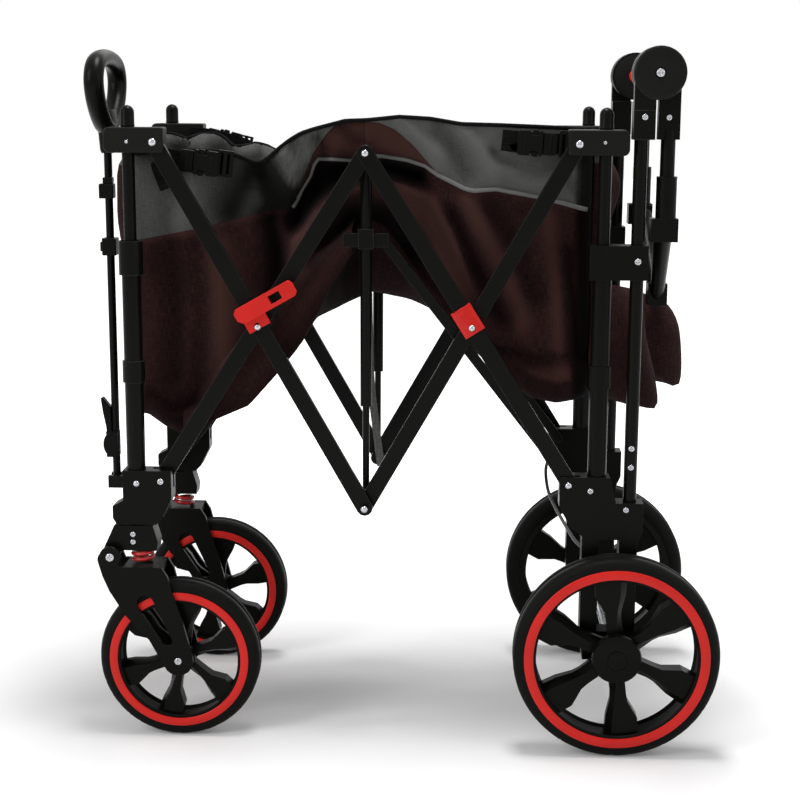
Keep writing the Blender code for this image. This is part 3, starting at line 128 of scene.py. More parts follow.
FLOOR_SHADE, FLOOR_GLOW = 0.86, 0.10
SHADOW_REACH = (0.66, 1.30)   # from here to there the floor runs out to white
floor_mesh = bpy.data.meshes.new("floor")
floor_mesh.from_pydata([(-6, -3, 0), (6, -3, 0), (6, 14, 0), (-6, 14, 0)], [], [(0, 1, 2, 3)])
floor = bpy.data.objects.new("floor", floor_mesh)
bpy.context.scene.collection.objects.link(floor)
floor_paint = bpy.data.materials.new("floor_paint")
tree, add = nodes_of(floor_paint)
ray = add("ShaderNodeLightPath")
matte = add("ShaderNodeBsdfDiffuse", {"Color": (FLOOR_SHADE, FLOOR_SHADE, FLOOR_SHADE, 1)})
where = add("ShaderNodeVectorMath", {0: add("ShaderNodeTexCoord").outputs["Object"]}, operation="LENGTH")
run_out = add("ShaderNodeMapRange", {"Value": where.outputs["Value"], "From Min": SHADOW_REACH[0],
                                     "From Max": SHADOW_REACH[1], "To Min": FLOOR_GLOW, "To Max": 1.0})
clear = add("ShaderNodeMath", {0: ray.outputs["Is Camera Ray"], 1: ray.outputs["Is Glossy Ray"]},
            operation="MAXIMUM")
seen = add("ShaderNodeMath", {0: clear.outputs[0], 1: run_out.outputs[0]}, operation="MULTIPLY")
glow = add("ShaderNodeEmission", {"Color": (1, 1, 1, 1), "Strength": seen.outputs[0]})
both = add("ShaderNodeAddShader", {0: matte.outputs[0], 1: glow.outputs[0]})
add("ShaderNodeOutputMaterial", {"Surface": both.outputs[0]})
floor_mesh.materials.append(floor_paint)

print("floor:", floor.name)

# %% The world and the lamps
WORLD_LIGHT = 0.30
world = bpy.data.worlds.new("studio")
bpy.context.scene.world = world
tree, add = nodes_of(world)
ray = add("ShaderNodeLightPath")
shown = add("ShaderNodeMath", {0: ray.outputs["Is Camera Ray"], 1: ray.outputs["Is Transmission Ray"]},
            operation="MAXIMUM")
shown = add("ShaderNodeMath", {0: shown.outputs[0], 1: ray.outputs["Is Glossy Ray"]}, operation="MAXIMUM")
strength = add("ShaderNodeMapRange", {"Value": shown.outputs[0], "To Min": WORLD_LIGHT, "To Max": 1.0})
sky = add("ShaderNodeBackground", {"Color": (1, 1, 1, 1), "Strength": strength.outputs[0]})
add("ShaderNodeOutputWorld", {"Surface": sky.outputs[0]})
# Name, place, the point it looks at, size and power
LAMPS = [("top_softbox", (0.05, 0.02, 2.4), (0, 0, 0.3), (0.9, 0.5), 50),
         ("left_softbox", (-1.9, -1.5, 1.7), (0, 0, 0.5), (0.8, 1.6), 27),
         ("right_softbox", (2.2, -1.2, 1.5), (0, 0, 0.5), (0.6, 1.6), 9),
         ("back_softbox", (0.3, 2.0, 1.9), (0, 0, 0.5), (2.0, 0.8), 7)]
for name, at, aim, size, power in LAMPS:
    light = bpy.data.lights.new(name, "AREA")
    light.shape = "RECTANGLE"
    light.size, light.size_y = size
    light.energy = power
    lamp = bpy.data.objects.new(name, light)
    bpy.context.scene.collection.objects.link(lamp)
    lamp.location = at
    lamp.rotation_euler = (Vector(aim) - Vector(at)).to_track_quat("-Z", "Y").to_euler()
bpy.context.scene.view_settings.view_transform = "Standard"

# %% [markdown]
# ## Shared shader effects
# Effects that several finishes use are node groups: the fine grain of moulded plastic, the bright
# line on edges (wear from handling, and a painted highlight where edges catch the light), dust that
# settles on what faces up, and a two-colour weave.
# Each group gives colours, masks and heights; the Principled shader stays in the material.

# %% Build a node group with named sockets
KINDS = {"colour": "NodeSocketColor", "value": "NodeSocketFloat", "vector": "NodeSocketVector"}


def new_group(name, inputs, outputs):
    """A shader group: inputs are (name, kind, value), outputs are (name, kind)."""
    group = bpy.data.node_groups.new(name, "ShaderNodeTree")
    for label, kind, value in inputs:
        socket = group.interface.new_socket(label, in_out="INPUT", socket_type=KINDS[kind])
        if value is not None:
            socket.default_value = value
    for label, kind in outputs:
        group.interface.new_socket(label, in_out="OUTPUT", socket_type=KINDS[kind])
    add = adder(group)
    return group, add, add("NodeGroupInput").outputs, add("NodeGroupOutput").inputs


def wire(group, pairs):
    """Link the finished values of a group to its outputs."""
    for source, target in pairs:
        group.links.new(source, target)


def maths(add, operation, a, b=0.0, clamp=False):
    return add("ShaderNodeMath", {0: a, 1: b}, operation=operation, use_clamp=clamp).outputs[0]


def blended(add, share, first, second):
    """Two colours mixed by a share."""
    return add("ShaderNodeMix", {0: share, 6: first, 7: second}, data_type="RGBA").outputs[2]


print("socket kinds:", list(KINDS))


# %% Grain: fine bumps, and gloss that is not quite even
grain_group, add, given, out = new_group(
    "grain", [("Size", "value", 0.0008), ("Gloss", "value", 0.4), ("Spread", "value", 0.1)],
    [("Height", "value"), ("Roughness", "value"), ("Patches", "value")])
place = add("ShaderNodeTexCoord").outputs["Object"]
fine_scale = maths(add, "DIVIDE", 1.0, given["Size"])
fine = add("ShaderNodeTexNoise", {"Vector": place, "Scale": fine_scale, "Detail": 2.0})
broad = add("ShaderNodeTexNoise", {"Vector": place, "Scale": 14.0, "Detail": 3.0})
swing = maths(add, "MULTIPLY", maths(add, "SUBTRACT", broad.outputs["Fac"], 0.5), given["Spread"])
rough = maths(add, "ADD", given["Gloss"], maths(add, "MULTIPLY", swing, 2.0), clamp=True)
wire(grain_group, [(fine.outputs["Fac"], out["Height"]), (rough, out["Roughness"]),
                   (broad.outputs["Fac"], out["Patches"])])

# %% Edge wear and painted edge highlight: a mask that is bright where the surface turns sharply
edge_group, add, given, out = new_group(
    "edge_wear_and_highlight", [("Width", "value", 0.0008), ("Amount", "value", 0.6)], [("Mask", "value")])
bevel = add("ShaderNodeBevel", {"Radius": given["Width"]}, samples=4)
flat = add("ShaderNodeNewGeometry").outputs["Normal"]
agree = add("ShaderNodeVectorMath", {0: bevel.outputs[0], 1: flat}, operation="DOT_PRODUCT")
sharply = maths(add, "MULTIPLY", maths(add, "SUBTRACT", 1.0, agree.outputs["Value"]), 9.0, clamp=True)
place = add("ShaderNodeTexCoord").outputs["Object"]
patchy = add("ShaderNodeTexNoise", {"Vector": place, "Scale": 90.0, "Detail": 3.0}).outputs["Fac"]
mask = maths(add, "MULTIPLY", maths(add, "MULTIPLY", sharply, patchy), given["Amount"], clamp=True)
wire(edge_group, [(mask, out["Mask"])])

# %% Dust: a mask for what faces up, in soft patches
dust_group, add, given, out = new_group("dust", [("Amount", "value", 0.15)], [("Mask", "value")])
facing = add("ShaderNodeSeparateXYZ", {0: add("ShaderNodeNewGeometry").outputs["Normal"]}).outputs["Z"]
up = add("ShaderNodeMapRange", {"Value": facing, "From Min": 0.2, "From Max": 1.0}).outputs[0]
place = add("ShaderNodeTexCoord").outputs["Object"]
cloud = add("ShaderNodeTexNoise", {"Vector": place, "Scale": 35.0, "Detail": 5.0}).outputs["Fac"]
mask = maths(add, "MULTIPLY", maths(add, "MULTIPLY", up, cloud), given["Amount"], clamp=True)
wire(dust_group, [(mask, out["Mask"])])

# %% Weave: crossing threads in two colours, laid out by the cloth's own coordinates
weave_group, add, given, out = new_group(
    "weave", [("Thread", "value", 0.0009), ("Ground", "colour", (0.03, 0.02, 0.02, 1)),
              ("Fleck", "colour", (0.1, 0.06, 0.05, 1)), ("Flecks", "value", 0.5)],
    [("Colour", "colour"), ("Height", "value"), ("Roughness", "value")])
cloth = add("ShaderNodeUVMap", uv_map="cloth").outputs[0]
axes = add("ShaderNodeSeparateXYZ", {0: cloth})
per_thread = maths(add, "DIVIDE", pi, given["Thread"])
warp = maths(add, "ABSOLUTE", maths(add, "SINE", maths(add, "MULTIPLY", axes.outputs["X"], per_thread)))
weft = maths(add, "ABSOLUTE", maths(add, "SINE", maths(add, "MULTIPLY", axes.outputs["Y"], per_thread)))
height = maths(add, "MULTIPLY", warp, weft)
streaks = []
for stretch in ((0.10, 1.0, 1.0), (1.0, 0.07, 1.0)):
    run = add("ShaderNodeVectorMath", {0: cloth, 1: stretch}, operation="MULTIPLY").outputs[0]
    scale = maths(add, "DIVIDE", 0.75, given["Thread"])
    streaks.append(add("ShaderNodeTexNoise", {"Vector": run, "Scale": scale, "Detail": 2.0}).outputs["Fac"])
fleck = maths(add, "MULTIPLY", maths(add, "ADD", streaks[0], streaks[1]), 0.5)
fleck = add("ShaderNodeMapRange", {"Value": fleck, "From Min": 0.40, "From Max": 0.66}).outputs[0]
worn = add("ShaderNodeTexNoise", {"Vector": cloth, "Scale": 9.0, "Detail": 4.0}).outputs["Fac"]
share = maths(add, "MULTIPLY", maths(add, "MULTIPLY", fleck, given["Flecks"]),
              maths(add, "ADD", worn, 0.5), clamp=True)
colour = blended(add, share, given["Ground"], given["Fleck"])
rough = add("ShaderNodeMapRange", {"Value": height, "To Min": 0.95, "To Max": 0.80}).outputs[0]
wire(weave_group, [(colour, out["Colour"]), (height, out["Height"]), (rough, out["Roughness"])])
print("groups:", [g.name for g in bpy.data.node_groups])

# %% [markdown]
# ## Finishes
# Painted steel and moulded plastic are both nearly black here, so they differ in gloss: the
# paint is smooth with a clear highlight, the plastic has a fine spark-eroded grain. Each finish is
# a small recipe over the shared groups.

# %% Finishes for the hard parts
DUST_COLOUR, GLOSS_SPREAD = (0.30, 0.29, 0.27, 1), 0.12


def use_group(add, group, **values):
    """The outputs of a group, for the values given."""
    return add("ShaderNodeGroup", values, node_tree=group).outputs


def hard_finish(name, colour, gloss, worn, grain=0.0009, bump=0.00004, metallic=0.0, coat=0.0,
                wear_and_highlight=0.5, dust=0.06, specular=0.5):
    """Paint, plastic or metal: grain, patchy gloss, worn edges that also carry a painted highlight, and a breath of
    dust.
    """
    material = bpy.data.materials.new(name)
    tree, add = nodes_of(material)
    texture = use_group(add, grain_group, Size=grain, Gloss=gloss, Spread=GLOSS_SPREAD)
    edges = use_group(add, edge_group, Amount=wear_and_highlight)["Mask"]
    settled = use_group(add, dust_group, Amount=dust)["Mask"]
    tone = add("ShaderNodeMapRange", {"Value": texture["Patches"], "To Min": 0.8, "To Max": 1.25}).outputs[0]
    shaded = add("ShaderNodeVectorMath", {0: colour, "Scale": tone}, operation="SCALE").outputs[0]
    # The edge colour is partly real wear and partly a painted highlight where edges catch the light.
    worn_and_lit_edges = blended(add, edges, shaded, (*worn, 1))
    dusty = blended(add, settled, worn_and_lit_edges, DUST_COLOUR)
    normal = add("ShaderNodeBump", {"Height": texture["Height"], "Distance": bump, "Strength": 0.6})
    shader = add("ShaderNodeBsdfPrincipled", {
        "Base Color": dusty, "Roughness": texture["Roughness"], "Metallic": metallic,
        "Coat Weight": coat, "Coat Roughness": 0.12, "Specular IOR Level": specular,
        "Normal": normal.outputs[0]})
    add("ShaderNodeOutputMaterial", {"Surface": shader.outputs[0]})
    return material


FINISH = {
    # On the black paint the bright edge colour is mostly a painted highlight along the bar edges, with a little real
    # wear.
    "black_steel": hard_finish("satin_black_paint", (0.0034, 0.0034, 0.0028), 0.30, (0.12, 0.12, 0.115),
                               grain=0.0016, bump=0.00002, wear_and_highlight=0.95, dust=0.002, specular=0.065),
    "black_plastic": hard_finish("moulded_black_nylon", (0.0030, 0.0030, 0.0023), 0.34, (0.045, 0.045, 0.043),
                                 bump=0.00006, wear_and_highlight=0.55, dust=0.002, specular=0.06),
    # A rougher copy of the black nylon for the knob caps and corner blocks; its lighter colour is painted light, for
    # the light these parts catch.
    "matt_plastic_painted_lighter": hard_finish("matt_moulded_nylon_painted_lighter", (0.0074, 0.0074, 0.0066), 0.42, (0.060, 0.060, 0.056),
                                bump=0.00006, wear_and_highlight=0.6, dust=0.002, specular=0.08),
    "bare_steel": hard_finish("zinc_plated_steel", (0.40, 0.41, 0.43), 0.24, (0.6, 0.6, 0.6),
                              grain=0.0012, metallic=1.0, dust=0.0),
    "red_plastic": hard_finish("red_nylon", (0.62, 0.0175, 0.0130), 0.36, (0.75, 0.13, 0.10), wear_and_highlight=0.35,
                               dust=0.01, specular=0.18),
    "red_steel": hard_finish("red_spring_paint", (0.42, 0.009, 0.008), 0.28, (0.5, 0.2, 0.18), coat=0.3,
                             dust=0.01, specular=0.3),
    "tyre_rubber": hard_finish("tyre_foam_rubber", (0.0045, 0.0045, 0.0040), 0.55, (0.02, 0.02, 0.02),
                               grain=0.0022, bump=0.00012, wear_and_highlight=0.2, dust=0.004, specular=0.06),
    "cable_jacket": hard_finish("cable_jacket", (0.006, 0.006, 0.006), 0.40, (0.02, 0.02, 0.02), dust=0.01),
    "fabric": hard_finish("cloth_stand_in", (0.03, 0.016, 0.015), 0.9, (0.05, 0.03, 0.03)),
}
print("finishes:", len(FINISH))

# %% [markdown]
# ## The CAD parts that stay
# The exact solids already have the right shapes, but every edge is a knife edge. Real bars and
# castings have small radii that catch the light. A Weld joins the points that the export split,
# a planar Decimate takes out the spare triangles, and a Bevel rounds what is sharper than 40
# degrees. The CAD mesh itself is never touched, since the modifiers only act on what is drawn.

# %% Round the edges of the CAD parts and give each its finish
SHARP = radians(40)
SLOT_OF = {row["node"]: row["material_slot"] for row in frame["record"]["subparts"]}


def soften(made, width):
    """Round the sharp edges of what is drawn, without touching the mesh."""
    for polygon in made.data.polygons:
        polygon.use_smooth = True
    weld = made.modifiers.new("weld", "WELD")
    weld.merge_threshold = 0.00002
    flat = made.modifiers.new("flat_faces", "DECIMATE")
    flat.decimate_type = "DISSOLVE"
    flat.angle_limit = radians(0.5)
    edge = made.modifiers.new("small_radius", "BEVEL")
    edge.width = width
    edge.segments = 3
    edge.limit_method = "ANGLE"
    edge.angle_limit = SHARP
    edge.harden_normals = False
    even = made.modifiers.new("even_shading", "WEIGHTED_NORMAL")
    even.keep_sharp = False
    even.weight = 80


EDGE_WIDTH = {"short_bar": 0.0014, "long_bar": 0.0014, "lower_bracket": 0.0042, "fork": 0.0036, "head": 0.0040,
              "push_post": 0.0020, "arm": 0.0024, "sleeve": 0.0012, "post": 0.0006, "grip": 0.0014,
              "latch": 0.0010}
for name, made in frame["nodes"].items():
    width = next((w for word, w in EDGE_WIDTH.items() if word in name), 0.0005)
    soften(made, width)
    made.data.materials.clear()
    made.data.materials.append(FINISH[SLOT_OF[name]])
print("slots:", sorted(set(SLOT_OF.values())))

# %% [markdown]
# ## Building pieces
# Everything added here is drawn from lists of points: profiles turned about an axis, sections
# swept along a path, and flat outlines given depth. A Bevel modifier then rounds what should be
# round. The places are counted from the fold, and are moved to the CAD model's X at the end.

# %% Helpers that add to a mesh: turn, sweep, extrude
CLOTH_UV = "cloth"
TO_FAR = Vector((0, 1, 0))
TO_THE_FAR_SIDE = (Vector((1, 0, 0)), Vector((0, 0, 1)), TO_FAR)
TO_THE_NEAR_SIDE = (Vector((1, 0, 0)), Vector((0, 0, 1)), -TO_FAR)


def ways_across(normal):
    """Two directions across a normal, and the normal."""
    n = Vector(normal).normalized()
    u = Vector((0, 0, 1)).cross(n)
    if u.length < 0.1:
        u = Vector((1, 0, 0)).cross(n)
    u.normalize()
    return u, n.cross(u), n


def turned(bm, profile, at, axis, steps, wobble=None):
    """A profile of (radius, height) turned about an axis; a radius of 0 closes it."""
    u, v, n = ways_across(axis)
    at = Vector(at)
    rings = []
    for radius, height in profile:
        if radius == 0:
            rings.append([bm.verts.new(at + n * height)])
            continue
        ring = []
        for i in range(steps):
            a = 2 * pi * i / steps
            r, h = (radius, height) if wobble is None else wobble(radius, height, a)
            ring.append(bm.verts.new(at + (u * cos(a) + v * sin(a)) * r + n * h))
        rings.append(ring)
    for low, high in zip(rings, rings[1:]):
        for i in range(steps):
            k = (i + 1) % steps
            corners = [low[i % len(low)], low[k % len(low)], high[k % len(high)], high[i % len(high)]]
            bm.faces.new(list(dict.fromkeys(corners)))


def smooth_path(points, count):
    """Points along a Catmull-Rom curve, evenly spaced."""
    p = np.array(points, float)
    p = np.vstack([2 * p[0] - p[1], p, 2 * p[-1] - p[-2]])
    fine = []
    for i in range(1, len(p) - 2):
        for t in np.linspace(0, 1, 24, endpoint=False):
            a, b, c, d = p[i - 1:i + 3]
            fine.append(0.5 * (2 * b + (c - a) * t + (2 * a - 5 * b + 4 * c - d) * t * t
                               + (3 * b - a - 3 * c + d) * t ** 3))
    fine = np.array(fine + [p[-2]])
    run = np.concatenate([[0], np.cumsum(np.linalg.norm(np.diff(fine, axis=0), axis=1))])
    at = np.linspace(0, run[-1], count)
    return [Vector([np.interp(s, run, fine[:, k]) for k in range(3)]) for s in at]


def swept(bm, path, section, kind=0, closed=False, side=None):
    """A section of (across, up) points swept along a path; side keeps a ribbon's face outward."""
    path = [Vector(p) for p in path]
    count = len(path)
    rings = []
    across = None
    for i, here in enumerate(path):
        before = path[i - 1] if i or closed else here
        after = path[(i + 1) % count] if i < count - 1 or closed else here
        along = (after - before).normalized()
        if side is not None:
            across = Vector(side).cross(along).normalized()
        elif across is None:
            across = ways_across(along)[0]
        else:
            across = (across - along * across.dot(along)).normalized()
        up = along.cross(across)
        rings.append([bm.verts.new(here + across * a + up * b) for a, b in section])
    pairs = list(zip(rings, rings[1:])) + ([(rings[-1], rings[0])] if closed else [])
    for low, high in pairs:
        for i in range(len(section)):
            k = (i + 1) % len(section)
            bm.faces.new((low[i], low[k], high[k], high[i])).material_index = kind
    if not closed:
        bm.faces.new(list(reversed(rings[0]))).material_index = kind
        bm.faces.new(rings[-1]).material_index = kind


def round_section(radius, sides):
    return [(radius * cos(2 * pi * i / sides), radius * sin(2 * pi * i / sides)) for i in range(sides)]


def rectangle(left, right, low, high):
    return [(left, low), (right, low), (right, high), (left, high)]


def slab(bm, outline, at, ways, low, high):
    """An outline of (across, up) given depth; ways are the directions across, up and deep."""
    u, v, n = ways
    near, far = ([bm.verts.new(Vector(at) + u * a + v * b + n * depth) for a, b in outline] for depth in (low, high))
    bm.faces.new(list(reversed(near)))
    bm.faces.new(far)
    for i in range(len(outline)):
        k = (i + 1) % len(outline)
        bm.faces.new((near[i], near[k], far[k], far[i]))


print("mesh helpers ready")

# %% Helper that makes a piece of a mesh
def finished(name, bm, body, slot, finishes=None, bevel=0.0, sharp=40, segments=2):
    """The mesh as a piece that rides on a body; its finish is its slot's, unless others are given."""
    bmesh.ops.remove_doubles(bm, verts=bm.verts, dist=0.000001)
    bmesh.ops.recalc_face_normals(bm, faces=bm.faces)
    bmesh.ops.translate(bm, verts=bm.verts, vec=(FOLD_X, 0, 0))
    mesh = bpy.data.meshes.new(name)
    bm.to_mesh(mesh)
    bm.free()
    made = bpy.data.objects.new(name, mesh)
    bpy.context.scene.collection.objects.link(made)
    for finish in finishes or [FINISH[slot]]:
        mesh.materials.append(finish)
    for polygon in mesh.polygons:
        polygon.use_smooth = True
    if bevel:
        edge = made.modifiers.new("small_radius", "BEVEL")
        edge.width = bevel
        edge.segments = segments
        edge.limit_method = "ANGLE"
        edge.angle_limit = radians(sharp)
        even = made.modifiers.new("even_shading", "WEIGHTED_NORMAL")
        even.weight = 80
    elif sharp:
        mesh.set_sharp_from_angle(angle=radians(sharp))
    if body:
        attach(made, body)
    return made


print("finishes a piece can take:", len(FINISH))


# %% [markdown]
# ## Wheels
# Each wheel is a foam tyre on a nylon rim with six swept blades, a bright red trim ring over the
# joint, and a hub. The CAD wheel is a plain stand-in, so tyre and rim are replaced by turned and
# lofted meshes: the tyre gets shoulder lugs, the blades a kink and a chamfered flank.

# %% Tyres with shoulder lugs
def tyre_profile(radius, seat, width):
    half = width / 2
    return [(seat, -half + 0.0020), (seat + 0.004, -half), (radius - 0.0075, -half + 0.0004),
            (radius - 0.0030, -half + 0.0026), (radius - 0.0009, -half + 0.0062),
            (radius, -half + 0.0100), (radius, -0.0022), (radius - 0.0012, -0.0010),
            (radius - 0.0012, 0.0010), (radius, 0.0022), (radius, half - 0.0100),
            (radius - 0.0009, half - 0.0062), (radius - 0.0030, half - 0.0026),
            (radius - 0.0075, half - 0.0004), (seat + 0.004, half), (seat, half - 0.0020)]


def lugs(radius):
    """Shallow slanted cuts across the shoulders, with none on the sidewall."""
    def wobble(r, h, a):
        if r < radius - 0.0076 or abs(h) < 0.004:
            return r, h
        phase = (a * LUGS / (2 * pi) + h * 22) % 1
        cut = 0.0010 * min(1, (radius - r) / 0.003) if phase < 0.17 else 0.0
        return r - cut, h
    return wobble


AXLE = {"rear": (0.3026, 0.1229, 0.178), "front": (-0.227, 0.0985, 0.141)}    # x, z, y of the wheel
TYRES = {"rear": (0.1229, 0.105, 0.040), "front": (0.0985, 0.0815, 0.036)}    # radius, seat, width
LUGS, TYRE_STEPS = 36, 216


def tyre(end, label, side):
    """A tyre, closed round its section."""
    x, z, y = AXLE[end]
    profile = tyre_profile(*TYRES[end])
    bm = bmesh.new()
    turned(bm, profile + profile[:1], (x, side * y, z), (0, side, 0), TYRE_STEPS, lugs(TYRES[end][0]))
    made = finished(f"{end}_tyre_tread_{label}", bm, f"{end}_wheel_{label}", "tyre_rubber", sharp=50)
    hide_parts(f"{end}_tyre_{label}")
    return made


print("lugs on a tyre:", LUGS)

# %% Rims: barrel, six kinked blades and hub
BLADES = 6
BLADE_TURN = {"rear": radians(-88), "front": radians(-104)}
# Blade stations: share of the radius, left edge, right edge, ridge, and the front face's place
BLADE = [(0.17, -0.100, 0.088, 0.010, -0.004), (0.44, -0.066, 0.110, -0.012, -0.003),
         (0.53, -0.070, 0.125, -0.018, -0.002), (0.72, -0.120, 0.232, -0.050, 0.000),
         (0.93, -0.140, 0.232, -0.058, 0.001)]
HUB = {"rear": (0.0296, 0.0215), "front": (0.0190, 0.0162)}    # radius, and how far out it stands


def rim(end, label, side):
    """A barrel, its blades and a hub."""
    x, z, y = AXLE[end]
    _, seat, width = TYRES[end]
    inner = seat - 0.0095
    half = width / 2 - 0.0015
    bm = bmesh.new()
    at, axis = (x, side * y, z), (0, side, 0)
    barrel = [(seat - 0.0004, -half), (inner + 0.0015, -half - 0.0008), (inner, -half + 0.001),
              (inner + 0.0030, -half + 0.006), (inner + 0.0035, half - 0.006), (inner, half - 0.001),
              (inner + 0.0015, half + 0.0008), (seat - 0.0004, half), (seat - 0.0004, -half)]
    turned(bm, barrel, at, axis, 96)
    front = y + half - 0.0065
    back = side * (y - 0.0085)
    for i in range(BLADES):
        a = BLADE_TURN[end] + 2 * pi * i / BLADES
        out, across = Vector((cos(a), 0, sin(a))), Vector((-sin(a), 0, cos(a)))
        rings = []
        for share, left, right_edge, ridge, lift in BLADE:
            face, flank = side * (front + lift), side * (front + lift - 0.0095)
            points = [(right_edge, face), (ridge, face), (left, flank), (left, back), (right_edge, back)]
            rings.append([bm.verts.new(Vector((x, depth, z)) + out * (seat * share) + across * (seat * w))
                          for w, depth in points])
        for low, high in zip(rings, rings[1:]):
            for k in range(5):
                n = (k + 1) % 5
                bm.faces.new((low[k], low[n], high[n], high[k]))
        bm.faces.new(rings[0])
        bm.faces.new(rings[-1])
    hub_r, hub_out = HUB[end]
    hub = [(0, -hub_out + 0.002), (hub_r * 0.66, -hub_out + 0.002), (hub_r * 0.70, -hub_out + 0.004),
           (hub_r * 0.74, -0.006), (hub_r * 0.93, 0.004), (hub_r, hub_out - 0.0075),
           (hub_r, hub_out - 0.0035), (hub_r - 0.0012, hub_out - 0.0012), (hub_r - 0.0045, hub_out),
           (0.0128, hub_out + 0.0004), (0.0122, hub_out - 0.0008), (0.0112, hub_out - 0.0008),
           (0.0106, hub_out + 0.0004), (0.0085, hub_out + 0.0010), (0, hub_out + 0.0012)]
    turned(bm, hub, at, axis, 64)
    made = finished(f"{end}_blade_rim_{label}", bm, f"{end}_wheel_{label}", "black_plastic", sharp=28)
    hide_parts(f"{end}_rim_{label}")
    return made


print("blades:", BLADES, "with", len(BLADE), "stations")


# %% Red trim rings
RINGS = {"rear": (0.0988, 0.1100), "front": (0.0757, 0.0853)}


def trim_ring(end, label, side, way=1):
    """A ring on the outer face of a wheel, or with way -1 on its inner face."""
    x, z, y = AXLE[end]
    low, high = RINGS[end]
    face = TYRES[end][2] / 2
    bm = bmesh.new()
    profile = [(low, face - 0.0030), (low, face + 0.0002), (low + 0.0010, face + 0.0010),
               (high - 0.0010, face + 0.0014), (high, face + 0.0006), (high, face - 0.0010),
               (low, face - 0.0030)]
    turned(bm, profile, (x, side * y, z), (0, side * way, 0), 128)
    inner = "" if way > 0 else "inner_"
    return finished(f"{end}_trim_ring_{inner}{label}", bm, f"{end}_wheel_{label}", "red_plastic", sharp=50)


wheel_pieces = []
for label, side in SIDES:
    for end in ("rear", "front"):
        wheel_pieces += [tyre(end, label, side), rim(end, label, side), trim_ring(end, label, side)]
    wheel_pieces.append(trim_ring("front", label, side, -1))
print("wheel pieces:", len(wheel_pieces), "faces:", sum(len(p.data.polygons) for p in wheel_pieces))

# %% [markdown]
# ## Rivets and screws
# The frame is held by domed rivets at the pivots and by cross-head screws in the plastic parts.
# Both are small bright points that show how the frame turns, so each is a turned head with a
# flange; a screw also gets its recess pressed into the dome.

# %% Rivet and screw heads
def head(bm, at, side, radius, kind):
    """A head on a face that looks to one side."""
    if kind == "rivet":
        profile = [(radius, -0.0006), (radius, 0.0003), (radius * 0.93, 0.0008),
                   (radius * 0.70, 0.0017), (radius * 0.40, 0.0022), (0, 0.0024)]
        turned(bm, profile, at, (0, side, 0), 20)
        return

    def recess(r, h, a):
        deep = 0.0011 if r < radius * 0.62 and abs(sin(2 * a)) < 0.45 else 0.0
        return r, h - deep
    profile = [(radius, -0.0006), (radius, 0.0004), (radius * 0.88, 0.0012), (radius * 0.64, 0.0016),
               (radius * 0.60, 0.0016), (radius * 0.20, 0.0017), (0, 0.0007)]
    turned(bm, profile, at, (0, side, 0), 32, recess)


def heads(name, body, places):
    """One piece of heads, each at (x, y, z), looking to a side, with its radius and kind."""
    bm = bmesh.new()
    for x, y, z, side, radius, kind in places:
        head(bm, (x, y, z), side, radius, kind)
    finished(name, bm, body, "bare_steel", sharp=0)


def face_of(node, side):
    """How far out a CAD node reaches on one side."""
    low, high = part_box(node)
    return low[1] if side < 0 else high[1]


print("head kinds: rivet, screw")

# %% Heads on the flat faces
# Body, CAD node, and the heads on it: x, z, radius, kind
HEADS = [("rear_top", "rear_top_bracket", [(0.246, 0.7245, 0.0046, "rivet"), (0.2750, 0.7265, 0.0022, "screw")]),
         ("front_top", "front_top_bracket", [(-0.246, 0.7240, 0.0046, "rivet"), (-0.2757, 0.7245, 0.0022, "screw")]),
         ("rear_base", "rear_lower_bracket", [(0.2430, 0.3235, 0.0042, "rivet"), (0.2690, 0.3175, 0.0036, "screw"),
                                              (0.3118, 0.2950, 0.0036, "screw")]),
         ("front_base", "front_lower_bracket", [(-0.2748, 0.3182, 0.0040, "rivet"),
                                                (-0.2455, 0.3212, 0.0040, "screw")]),
         ("rear_base", "rear_post_sleeve", [(0.3164, 0.5909, 0.0040, "screw")]),
         ("rear_short_bars", "rear_short_bar", [(0.0, 0.7126, 0.0042, "rivet")]),
         ("front_long_bars", "front_long_bar", [(0.0, 0.2915, 0.0042, "rivet")]),
         ("caster", "caster_head", [(-0.2806, 0.2550, 0.0035, "screw"), (-0.2806, 0.2455, 0.0035, "screw")])]
for body, node, places in HEADS:
    for label, side in SIDES:
        y = face_of(f"{node}_{label}", side)
        heads(f"{node}_heads_{label}", f"caster_{label}" if body == "caster" else body,
              [(x, y, z, side, radius, kind) for x, z, radius, kind in places])
print("head sets:", 2 * len(HEADS))

# %% Heads on round parts
for label, side in SIDES:
    heads(f"push_post_heads_{label}", "rear_base",
          [(0.3165, side * 0.1490, z, side, 0.0036, "screw") for z in (0.3686, 0.3456)])
    heads(f"knob_heads_{label}", "rear_base",
          [(0.335, side * 0.1550, 0.805, side, 0.0050, "screw"),
           (0.3190, side * 0.1550, 0.7555, side, 0.0036, "screw")])
    heads(f"front_axle_heads_{label}", f"fork_{label}", [(-0.227, side * 0.1653, 0.0985, side, 0.0046, "screw")])

# %% [markdown]
# ## The cloth tub: its lines
# The tub is sewn from a grey band over burgundy panels, hung between the posts. Half folded, its
# sides bunch up: a pocket flap stands out in the middle over a dark hollow, and folds run down
# from the pivots. It could be simulated, but its look depends on seams in exact places, so it is
# lofted: the rim, the band's edge, the flap's hem and the bottom are curves along the wagon, the
# rows of the mesh follow them, and folds are then pressed into the wall.

